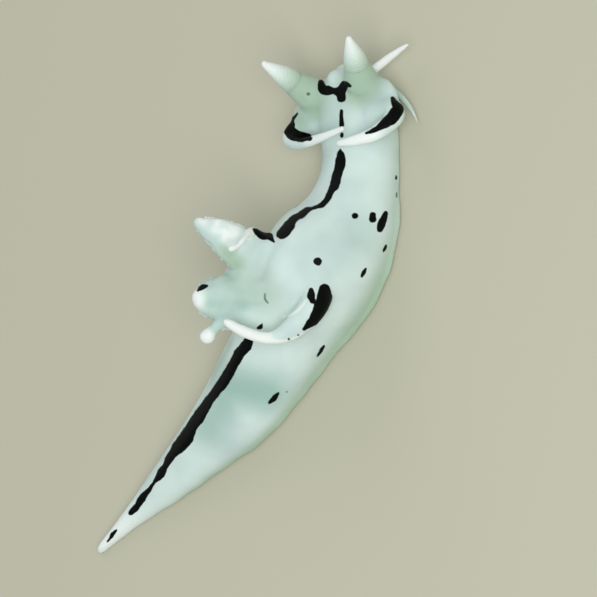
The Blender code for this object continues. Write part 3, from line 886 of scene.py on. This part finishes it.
def evened(item, values, weights, turns):
    """Values on the vertices, drawn towards their neighbours' where weighted."""
    pairs = np.zeros(len(item.data.edges) * 2, dtype=np.int32)
    item.data.edges.foreach_get("vertices", pairs)
    a, b = pairs.reshape(-1, 2).T
    count, size = np.bincount(pairs, minlength=len(values)), len(values)
    for _ in range(turns):
        total = np.bincount(a, values[b], size) + np.bincount(b, values[a], size)
        values = values + weights * (total / count - values)
    return values


def left_spots(points):
    """The distance from the spots on the side that isn't seen."""
    edge = np.full(len(points), FAR_OFF)
    for along, angle, half_length, half_width in LEFT_SPOTS:
        share = along / spine.length
        place = body_section(share, math.radians(angle), False)
        run = body_axes(along)[1] * half_length
        ends = [(*(place - run), half_width), (*(place + run), half_width * LEFT_SPOT_TAPER)]
        edge = np.minimum(edge, stroke_edge(points, ends))
    return edge


def add_attribute(item, name, values):
    """Keep a value for each vertex, for the material to read."""
    layer = item.data.attributes.new(name, "FLOAT", "POINT")
    layer.data.foreach_set("value", np.asarray(values, dtype=np.float32))


# How white each process is: the share of its length where the white begins and where
# it is full. A process counts for the skin within so many of its own radii.
WHITE_STARTS = {
    "oral_tentacle": (0.15, 0.40),
    "foot_corner": (0.30, 1.80),
    "head_appendage": (0.50, 0.66),
    "gill_appendage": (0.56, 0.64),
}
OWN_RADII = (1.9, 1.4)
# A rhinophore whitens to its tip and is clearest at its foot: shares of its length, and
# how far from its middle line each tint fades and is full, in millimetres.
RHINOPHORE_WHITE = (0.45, 1.00)
RHINOPHORE_WHITE_REACH = (0.95, 0.70)
RHINOPHORE_CLEAR = (1.00, 0.42)
RHINOPHORE_CLEARNESS = 0.8
RHINOPHORE_REACH = (1.25, 0.40)
# A gill whitens between two shares of its length, with clearer patches in the white, and
# on the first one less below its upper edge. Its outer part is greyer.
GILL_WHITE = {"gill_front": (0.40, 0.62), "gill_left": (0.86, 0.99), "gill_rear": (0.79, 0.87)}
GILL_MOTTLE = {"gill_front": 0.42, "gill_left": 0.05, "gill_rear": 0.0}
MOTTLE_MM = 0.28
MOTTLE_RANGE = (-0.5, 0.4)
GILL_WHITE_BAND = (-0.35, 0.05)
GILL_WHITE_BELOW = 0.15
GILL_DEEP = (0.25, 0.60)
GILL_DEEP_STRENGTH = 0.4
GILL_RADII = (1.7, 1.3)
MOUTH_SHADE = 0.8
# The tail whitens towards its end and its ridge: millimetres from the snout, and shares
# of the body's height there.
TAIL_WHITE = 0.9
TAIL_WHITE_MM = (18.8, 21.8)
TAIL_WHITE_RISE = (0.0, 0.45)
# The flanks turn clearer and greener towards the foot, less at the head and at the end of the tail: partly
# the thin flesh there, partly painted shade and painted green light thrown up from the ground.
FLANK_CLEAR_AND_SHADE = 0.85
FLANK_CLEAR_RISE = (0.42, 0.02)
TAIL_CLEAR_MM = (22.5, 16.0)
HEAD_CLEAR_MM = (4.5, 8.0)
HEAD_CLEAR_SHARE = 0.45
# Where the flesh lets more light through and looks greyer, and where it is so thin that it looks green:
# places in the photograph along its middle, how far it spreads in millimetres, and how strong it is. The
# first two grey patches, in the hollow beside the tail's black line, are painted shade, and the green patch
# at the foot of the left rhinophore is painted shadow.
DEEP_AND_SHADED_PATCHES = (
    ((230, 386), (250, 390), (268, 393), 1.45, 0.9),
    ((226, 396), (216, 412), (206, 428), 1.45, 0.7),
    ((361, 228), (361, 238), 1.30, 0.35),
    ((206, 303), (222, 304), (242, 304), 0.65, 0.6),
    ((322, 108), (330, 112), 1.60, 0.4),
    ((300, 122), (314, 116), 0.90, 0.4),
    ((372, 94), (380, 104), 1.00, 0.4),
)
CLEAR_AND_SHADOWED_PATCHES = (
    ((226, 252), (236, 264), 0.60, 0.8),
    ((240, 268), (232, 278), 0.60, 0.4),
    ((258, 286), (266, 296), 1.30, 0.35),
    ((298, 86), (304, 98), 0.80, 0.8),
    ((298, 106), (300, 126), 0.70, 0.6),
    ((350, 92), (370, 84), 0.80, 0.45),
    ((335, 68), (336, 72), 0.50, 0.3),
    ((230, 344), (214, 374), 0.60, 0.5),
)


def tinted(points, tree, tint, patches):
    """A tint made stronger round each patch, whose middle is a line over the skin."""
    for *line, spread, strength in patches:
        found = [on_surface(tree, x, y) for x, y in line]
        off = along_line(points, [tuple(place) for place in found if place is not None])[0]
        tint = np.maximum(tint, strength * soft_step(spread, 0.0, off))
    return tint


def gill_white(points, name):
    """White towards the tip of a gill, and on the first one most along its upper edge."""
    stem = fingers[name]
    start, full = GILL_WHITE[name]
    white = soft_step(start, full, from_finger(points, stem)[1])
    if name == "gill_front":
        point, _, _, broad = stem.axes(stem.line.length * full)
        upper = soft_step(*GILL_WHITE_BAND, (points - np.array(point)) @ np.array(broad))
        white = white * (GILL_WHITE_BELOW + (1 - GILL_WHITE_BELOW) * upper)
    mottled = white > 0
    patchy = soft_step(*MOTTLE_RANGE, soft_noise(points[mottled], MOTTLE_MM))
    white[mottled] *= 1 - GILL_MOTTLE[name] * (1 - patchy)
    return white


def rhinophore_tints(points, side):
    """How white and how clear the skin is by its place along a rhinophore."""
    line = [tuple(body_point(ends[side])) for ends in (RHINOPHORE_ROOTS, RHINOPHORE_TIPS)]
    distance, along = along_line(points, line)
    near = soft_step(*RHINOPHORE_REACH, distance)
    white = soft_step(*RHINOPHORE_WHITE_REACH, distance) * soft_step(*RHINOPHORE_WHITE, along)
    return white, RHINOPHORE_CLEARNESS * near * soft_step(*RHINOPHORE_CLEAR, along)


places = corners(skin)
skin_tree = surface_tree(skin)
wide, narrow = {}, {}
for name, stroke in BLACK_STROKES.items():
    kept = wide if max(row[2] for row in stroke) > WIDE_STROKE else narrow
    kept[name] = stroke
to_eye = np.array(eye_mm) - places
facing = np.einsum("ij,ij->i", outward(skin), to_eye) / np.linalg.norm(to_eye, axis=1)
wide_edge = np.clip(marked(places, skin_tree, wide), -EDGE_ROOM, EDGE_ROOM)
wide_edge = evened(skin, wide_edge, soft_step(*GRAZED, facing), EDGE_TURNS)
black_edge = np.minimum.reduce((wide_edge, marked(places, skin_tree, narrow), left_spots(places)))
faint_edge = marked(places, skin_tree, FAINT_STROKES)
white = soft_step(*WHITE_EDGE, marked(places, skin_tree, WHITE_STROKES))
for name, finger in fingers.items():
    kind = name.rsplit("_", 1)[0]
    if kind in WHITE_STARTS:
        radii_off, along = from_finger(places, finger)
        near = soft_step(*OWN_RADII, radii_off)
        white = np.maximum(white, near * soft_step(*WHITE_STARTS[kind], along))

on_floor = places * np.array((1, 1, 0))
back_mm = along_line(on_floor, [(*row[:2], 0) for row in spine.rows])[1] * spine.length
rise = places[:, 2] / np.interp(back_mm, spine.distance, [row[3] for row in spine.rows])
tail_white = soft_step(*TAIL_WHITE_MM, back_mm) * soft_step(*TAIL_WHITE_RISE, rise)
white = np.maximum(white, TAIL_WHITE * tail_white)
# Painted shade and painted green ground light low on the flanks, over their clearer flesh.
clear = FLANK_CLEAR_AND_SHADE * soft_step(*FLANK_CLEAR_RISE, rise) * soft_step(*TAIL_CLEAR_MM, back_mm)
clear *= HEAD_CLEAR_SHARE + (1 - HEAD_CLEAR_SHARE) * soft_step(*HEAD_CLEAR_MM, back_mm)
for side in ("right", "left"):
    whiter, clearer = rhinophore_tints(places, side)
    white, clear = np.maximum(white, whiter), np.maximum(clear, clearer)
# Painted shade along the line of the mouth, where the lips part.
deep_and_shade = MOUTH_SHADE * soft_step(MOUTH_WIDTH, 0.0, off_mouth(places))
stems_off = {name: from_finger(places, fingers[name]) for name in GILL_PATHS}
nearest_off = np.minimum.reduce([off for off, _ in stems_off.values()])
for name, (off, along) in stems_off.items():
    near = soft_step(*GILL_RADII, off) * (off <= nearest_off)
    white = np.maximum(white, near * gill_white(places, name))
    deep_and_shade = np.maximum(deep_and_shade, GILL_DEEP_STRENGTH * near * soft_step(*GILL_DEEP, along))
deep_and_shade = tinted(places, skin_tree, deep_and_shade, DEEP_AND_SHADED_PATCHES)
clear = tinted(places, skin_tree, clear, CLEAR_AND_SHADOWED_PATCHES)
add_attribute(skin, "deep_and_shade", deep_and_shade)
add_attribute(skin, "black_edge", black_edge)
add_attribute(skin, "faint_edge", faint_edge)
add_attribute(skin, "white", white)
add_attribute(skin, "clear", clear)

# Live slug skin: thin, wet tissue over pale flesh. Under water it has hardly any gloss.
# Light goes into it and comes out softly, and it clouds a little from place to place.
SKIN_PALE = "#dcebe7"
SKIN_CLOUD = "#cadad8"
SKIN_DEEP_AND_SHADE = "#a3c3b9"
SKIN_CLEAR_AND_SHADE = "#a6c0a4"
PIGMENT_WHITE = "#f4fbf7"
PIGMENT_FAINT = "#66766c"
PIGMENT_BLACK = "#080b09"
# The tints and pigments over the flesh, from the deepest out: the attribute that says how much each one
# hides, and its colour. The grey and the green tints also carry painted shade, and the green one painted
# light from the ground. A mark's attribute is the distance to its edge.
SKIN_COATS = (
    ("deep_and_shade", SKIN_DEEP_AND_SHADE),
    ("clear", SKIN_CLEAR_AND_SHADE),
    ("white", PIGMENT_WHITE),
    ("faint_edge", PIGMENT_FAINT),
    ("black_edge", PIGMENT_BLACK),
)
# Where a mark begins and where it is full, in millimetres from its edge, and how far the
# edge wanders, on patches of the size that follows.
MARK_EDGES = {"faint_edge": (0.03, -0.02, 0.0), "black_edge": (0.078, 0.042, 0.12)}
RAGGED_MM = 0.4
CLOUD_MM = 1.9
CLOUD_RANGE = (0.3, 0.8)
# The grain of the skin is drawn coarser than the real one, so that it shows.
GRAIN_MM = 0.11
GRAIN_HEIGHT_MM = 0.006
NOISE_DETAIL = 2.0
SKIN_IOR = 1.37
SKIN_ROUGHNESS = 0.5
SKIN_SPECULAR = 0.1
SCATTER_MM = 0.3
SCATTER_WEIGHT = 0.6
SCATTER_COLOURS = (0.9, 1.0, 0.9)


def linear(code):
    """A hex colour as the light values that the shader wants."""
    values = [int(code[i : i + 2], 16) / 255 for i in (1, 3, 5)]
    return [v / 12.92 if v < 0.04045 else ((v + 0.055) / 1.055) ** 2.4 for v in values] + [1.0]


def node(tree, kind, settings=(), inputs=()):
    """Add a node: its settings by name, and its inputs, each a value or a link."""
    made = tree.nodes.new(kind)
    for key, value in dict(settings).items():
        setattr(made, key, value)
    for key, value in dict(inputs).items():
        if isinstance(value, bpy.types.NodeSocket):
            tree.links.new(value, made.inputs[key])
        else:
            made.inputs[key].default_value = value
    return made


def new_material(name):
    """An empty material with its node tree."""
    made = bpy.data.materials.new(name)
    made.use_nodes = True
    made.node_tree.nodes.clear()
    return made


def flesh(name, cloud_mm, cloud_range, coats, grain_height_mm):
    """Moist tissue: pale, clouded flesh under its tints and pigments, finely grained."""
    made = new_material(name)
    tree = made.node_tree
    spot = node(tree, "ShaderNodeTexCoord").outputs["Object"]
    noises = []
    for size_mm in (cloud_mm, RAGGED_MM, GRAIN_MM):
        values = {"Vector": spot, "Scale": 1 / (size_mm * MM), "Detail": NOISE_DETAIL}
        noises.append(node(tree, "ShaderNodeTexNoise", inputs=values).outputs["Fac"])
    clouds, ragged, grain = noises
    edges = {"clouds": (*cloud_range, 0.0), **MARK_EDGES}
    colour = linear(SKIN_PALE)
    for coat, pigment in (("clouds", SKIN_CLOUD), *coats):
        share = clouds
        if coat != "clouds":
            share = node(tree, "ShaderNodeAttribute", {"attribute_name": coat}).outputs["Fac"]
        if coat in edges:
            low, high, wander = edges[coat]
            moved = node(
                tree,
                "ShaderNodeMath",
                {"operation": "MULTIPLY_ADD"},
                {0: ragged, 1: wander, 2: share},
            )
            share = node(
                tree,
                "ShaderNodeMapRange",
                {"interpolation_type": "SMOOTHSTEP"},
                {"Value": moved.outputs[0], "From Min": low, "From Max": high},
            ).outputs["Result"]
        layers = {0: share, 6: colour, 7: linear(pigment)}
        colour = node(tree, "ShaderNodeMix", {"data_type": "RGBA"}, layers).outputs[2]
    bump = node(
        tree,
        "ShaderNodeBump",
        inputs={"Height": grain, "Strength": 1.0, "Distance": grain_height_mm * MM},
    )
    shader = node(
        tree,
        "ShaderNodeBsdfPrincipled",
        {"subsurface_method": "RANDOM_WALK"},
        {
            "Base Color": colour,
            "Normal": bump.outputs["Normal"],
            "Roughness": SKIN_ROUGHNESS,
            "IOR": SKIN_IOR,
            "Specular IOR Level": SKIN_SPECULAR,
            "Subsurface Weight": SCATTER_WEIGHT,
            "Subsurface Radius": SCATTER_COLOURS,
            "Subsurface Scale": SCATTER_MM * MM,
        },
    )
    node(tree, "ShaderNodeOutputMaterial", inputs={"Surface": shader.outputs["BSDF"]})
    return made


def put_in_place(item, material, slot, *nodes):
    """Bring a piece from millimetres to its real size, give it its material, and hide the parts of the model
    that it replaces.
    """
    item.data.transform(Matrix.Scale(MM, 4))
    item.data.materials.clear()
    item.data.materials.append(material)
    item.data.shade_smooth()
    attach(item, "root")
    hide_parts(*nodes)


skin_material = flesh(
    "moist_translucent_skin", CLOUD_MM, CLOUD_RANGE, SKIN_COATS, GRAIN_HEIGHT_MM
)
put_in_place(
    skin,
    skin_material,
    "skin",
    "head",
    "neck",
    "trunk_front",
    "trunk_rear",
    "tail_front",
    "tail_rear",
    "foot_front",
    "foot_middle",
    "foot_rear",
    "oral_tentacle_right",
    "oral_tentacle_left",
    "foot_corner_right",
    "foot_corner_left",
    "head_appendage_right",
    "head_appendage_left",
    "gill_appendage_right",
    "gill_appendage_left",
)

# The clubs of the rhinophores: the scent organs on the head. Each is a tapering club
# of thin ring folds, the lamellae, which slope down towards its back. The outer half
# is chalk white. It grows from the stalk, which is part of the skin.
CLUB_PROFILE = (
    (0.40, 0.40),
    (0.46, 0.45),
    (0.52, 0.45),
    (0.62, 0.40),
    (0.74, 0.31),
    (0.86, 0.21),
    (0.96, 0.13),
)
CLUB_STEPS = 12
CLUB_SIDES = 64
# The degrees round the dome at the tip, from its rim, and what counts as one place.
DOME_TURNS = (25, 50, 75)
MERGE_MM = 1e-5
LAMELLAE = 13
RINGS_PER_LAMELLA = 8
LAMELLA_DEPTH = 0.024
LAMELLA_SLOPE = 0.35
# How much of a fold lies below the club's outline, the share of the club over which the
# folds grow to full depth, and what they shrink from towards the tip.
LAMELLA_SINK = 0.7
LAMELLA_GROWTH = 1 / 3
LAMELLA_SHRINK = 1.2


def club(side):
    """The ringed club, spun round its axis and set on its stalk."""
    root, tip = body_point(RHINOPHORE_ROOTS[side]), body_point(RHINOPHORE_TIPS[side])
    reach = (tip - root).length
    outline = Line(CLUB_PROFILE, CLUB_STEPS, 1)
    bm = bmesh.new()
    spots = []
    rings = LAMELLAE * RINGS_PER_LAMELLA
    for ring in range(rings + 1):
        share = ring / rings
        up, radius = outline.read(share * outline.length)
        fold = math.sqrt(abs(math.sin(math.pi * share * LAMELLAE))) - LAMELLA_SINK
        fold *= LAMELLA_DEPTH * min(1, share / LAMELLA_GROWTH) * (LAMELLA_SHRINK - share)
        spots.append(bm.verts.new((radius + fold, 0, up * reach)))
    top = spots[-1].co.copy()
    for turn in DOME_TURNS:
        angle = math.radians(turn)
        spots.append(bm.verts.new((top.x * math.cos(angle), 0, top.z + top.x * math.sin(angle))))
    edges = [bm.edges.new(pair) for pair in zip(spots, spots[1:])]
    bmesh.ops.spin(
        bm,
        geom=spots + edges,
        axis=(0, 0, 1),
        cent=(0, 0, 0),
        steps=CLUB_SIDES,
        angle=math.tau,
        use_merge=True,
    )
    bmesh.ops.remove_doubles(bm, verts=bm.verts, dist=MERGE_MM)
    rims = [edge for edge in bm.edges if edge.is_boundary]
    bmesh.ops.holes_fill(bm, edges=rims, sides=0)
    for vertex in bm.verts:
        vertex.co.z -= vertex.co.y * LAMELLA_SLOPE
    bmesh.ops.recalc_face_normals(bm, faces=bm.faces)
    axis = (tip - root).normalized()
    rear = -body_axes(RHINOPHORE_ROOTS[side][0])[1]
    rear = (rear - axis * rear.dot(axis)).normalized()
    turned = Matrix((rear.cross(axis), rear, axis)).transposed().to_4x4()
    bmesh.ops.transform(bm, matrix=Matrix.Translation(root) @ turned, verts=bm.verts)
    mesh = bpy.data.meshes.new("rhinophore_club_" + side)
    bm.to_mesh(mesh)
    bm.free()
    item = mesh_object("rhinophore_club_" + side, mesh)
    white, clear = rhinophore_tints(corners(item), side)
    add_attribute(item, "white", white)
    add_attribute(item, "clear", tinted(corners(item), skin_tree, clear, CLEAR_AND_SHADOWED_PATCHES))
    return item


# Rhinophore skin: the same wet tissue, smoother over its folds, with no dark pigment.
CLUB_COATS = (("clear", SKIN_CLEAR_AND_SHADE), ("white", PIGMENT_WHITE))
CLUB_GRAIN_HEIGHT_MM = 0.003
club_material = flesh(
    "moist_rhinophore_skin", CLOUD_MM, CLOUD_RANGE, CLUB_COATS, CLUB_GRAIN_HEIGHT_MM
)
for side in ("right", "left"):
    put_in_place(club(side), club_material, "rhinophore", "rhinophore_" + side)

# The pinnae of the gills: three plumes stand round the vent on the back. Their broad
# stems are part of the skin, and these are the side branches down their edges and
# outer faces: blunt fingers with knobbed edges that whiten to the tips.
GILL_VOXEL = 0.03
GILL_SMOOTHING = 3
# The rows of pinnae: the angle round the stem from the face turned up, how far they stand
# out at the root end and at the tip end, how many there are, and whether they are
# knobbed. The rows along the edges are close, plain lobes that scallop the rim.
PINNA_ROWS = {
    "gill_front": (
        (112, 0.03, 0.02, 15, False),
        (-112, 0.03, 0.02, 15, False),
        (136, 0.22, 0.12, 9, True),
        (-136, 0.22, 0.12, 9, True),
        (180, 0.28, 0.14, 9, True),
    ),
    "gill_left": (
        (128, 0.02, 0.00, 12, False),
        (-128, 0.02, 0.00, 12, False),
        (154, 0.22, 0.08, 9, True),
        (-154, 0.22, 0.08, 9, True),
        (180, 0.32, 0.14, 9, True),
    ),
    "gill_rear": (
        (130, 0.10, 0.03, 7, True),
        (-130, 0.10, 0.03, 7, True),
        (165, 0.20, 0.06, 6, True),
        (-165, 0.20, 0.06, 6, True),
    ),
}
PINNA_SHARES = {"gill_front": (0.34, 0.90), "gill_left": (0.42, 0.76), "gill_rear": (0.36, 0.66)}
PINNA_RADII = (0.125, 0.09)
PINNA_LEAN = 0.5
# The share of a pinna where it begins to taper, and the share of its radius at the tip.
PINNA_WAIST = 0.6
PINNA_TAPER = 0.8
PINNA_SIDES = 12
PINNA_RINGS = 12
# How unlike each other they are: the degrees that one turns, and shares of its reach.
PINNA_TURN = 4
PINNA_VARIES = (0.9, 1.1)
KNOB_PLACES = (0.30, 0.80)
KNOB_RADIUS = 0.06
KNOB_REACH = 0.045
KNOB_SIDES = 8
KNOB_RINGS = 6
KNOB_LEAN = (-0.25, 0.45)
KNOB_VARIES = (0.5, 1.2)
PINNA_WHITE = 0.35
PINNA_WHITE_RADII = (0.9, 1.5)
random.seed(7)


def pinna(root, out, way, radius, buried, length, knobbed):
    """A side branch, with or without pairs of round knobs along its free part."""
    tip = root + out * length
    waist = root.lerp(tip, PINNA_WAIST)
    branch = Finger([(*root, radius), (*waist, radius), (*tip, radius * PINNA_TAPER)])
    found = [branch.form(PINNA_SIDES, PINNA_RINGS)]
    side = way.cross(out).normalized()
    for share in KNOB_PLACES if knobbed else ():
        spot = root + out * (buried + (length - buried) * share)
        for turn in (1, -1):
            lobe = (side * turn + way * random.uniform(*KNOB_LEAN)).normalized()
            reach = KNOB_REACH * random.uniform(*KNOB_VARIES)
            end = spot + lobe * (radius + reach - KNOB_RADIUS / 2)
            knob = Finger([(*spot, KNOB_RADIUS), (*end, KNOB_RADIUS)])
            found.append(knob.form(KNOB_SIDES, KNOB_RINGS))
    return found


def plume(name):
    """The pinnae of one gill, run together into one soft surface."""
    stem = fingers[name]
    found = []
    first, last = PINNA_SHARES[name]
    stretch = math.hypot(1, PINNA_LEAN)
    for row, (degrees, near, far, count, knobbed) in enumerate(PINNA_ROWS[name]):
        for i in range(count):
            share = (i + (row % 2) / 2) / (count - 0.5)
            along = (first + (last - first) * share) * stem.line.length
            point, way, thin, broad = stem.axes(along)
            width = stem.radius(along)
            angle = math.radians(degrees + random.uniform(-PINNA_TURN, PINNA_TURN))
            up, side = math.cos(angle), math.sin(angle)
            buried = stretch / math.hypot(up / (width * stem.flatness), side / width)
            out = (thin * up + broad * side + way * PINNA_LEAN).normalized()
            length = buried + (near + (far - near) * share) * random.uniform(*PINNA_VARIES)
            radius = PINNA_RADII[0] + (PINNA_RADII[1] - PINNA_RADII[0]) * share
            found += pinna(point, out, way, radius, buried, length, knobbed)
    item = fused(name.replace("gill", "plume"), found, GILL_VOXEL)
    smoothed(item, GILL_SMOOTHING)
    points = corners(item)
    off, along = from_finger(points, stem)
    tips_white = PINNA_WHITE * soft_step(*PINNA_WHITE_RADII, off)
    add_attribute(item, "white", np.maximum(gill_white(points, name), tips_white))
    add_attribute(item, "deep_and_shade", GILL_DEEP_STRENGTH * soft_step(*GILL_DEEP, along))
    return item


# Gill tissue: wet and thin, clouded on a finer scale, greyer in its outer part.
GILL_COATS = (("deep_and_shade", SKIN_DEEP_AND_SHADE), ("white", PIGMENT_WHITE))
GILL_CLOUD_MM = 0.6
GILL_CLOUD_RANGE = (0.3, 0.7)
GILL_GRAIN_HEIGHT_MM = 0.004
gill_material = flesh(
    "moist_gill_tissue", GILL_CLOUD_MM, GILL_CLOUD_RANGE, GILL_COATS, GILL_GRAIN_HEIGHT_MM
)
for gill_name in GILL_PATHS:
    put_in_place(plume(gill_name), gill_material, "gill", gill_name)

# The floor and the light: a plain pale floor, a wide soft light from above and from the
# animal's right, a weaker one from its left, and an even pale surrounding.
FLOOR_SIZE = 2.0
FLOOR_COLOUR = "#c9c5b1"
FLOOR_ROUGHNESS = 0.9
SURROUNDING_COLOUR = "#dfe8e6"
SURROUNDING_STRENGTH = 0.55
# Each soft light's place and width in millimetres, and its power in watts.
SOFTBOXES = {
    "key_softbox": ((-105, -10, 125), 110, 0.15),
    "fill_softbox": ((110, -70, 90), 120, 0.035),
}
floor_mesh = bpy.data.meshes.new("floor")
bm = bmesh.new()
bmesh.ops.create_grid(bm, x_segments=1, y_segments=1, size=FLOOR_SIZE / 2)
bm.to_mesh(floor_mesh)
bm.free()
floor = mesh_object("floor", floor_mesh)
floor_material = new_material("matt_floor_card")
floor_tree = floor_material.node_tree
floor_shader = node(
    floor_tree,
    "ShaderNodeBsdfPrincipled",
    inputs={"Base Color": linear(FLOOR_COLOUR), "Roughness": FLOOR_ROUGHNESS},
)
node(floor_tree, "ShaderNodeOutputMaterial", inputs={"Surface": floor_shader.outputs["BSDF"]})
floor_mesh.materials.append(floor_material)

for name, (place_mm, size_mm, power) in SOFTBOXES.items():
    light = bpy.data.lights.new(name, "AREA")
    light.shape = "DISK"
    light.size = size_mm * MM
    light.energy = power
    softbox = bpy.data.objects.new(name, light)
    softbox.location = Vector(place_mm) * MM
    softbox.rotation_mode = "QUATERNION"
    softbox.rotation_quaternion = (-Vector(place_mm)).to_track_quat("-Z", "Y")
    bpy.context.scene.collection.objects.link(softbox)

world = bpy.data.worlds.new("surrounding")
world.use_nodes = True
background = world.node_tree.nodes["Background"]
background.inputs["Color"].default_value = linear(SURROUNDING_COLOUR)
background.inputs["Strength"].default_value = SURROUNDING_STRENGTH
bpy.context.scene.world = world
bpy.context.scene.view_settings.view_transform = "Standard"
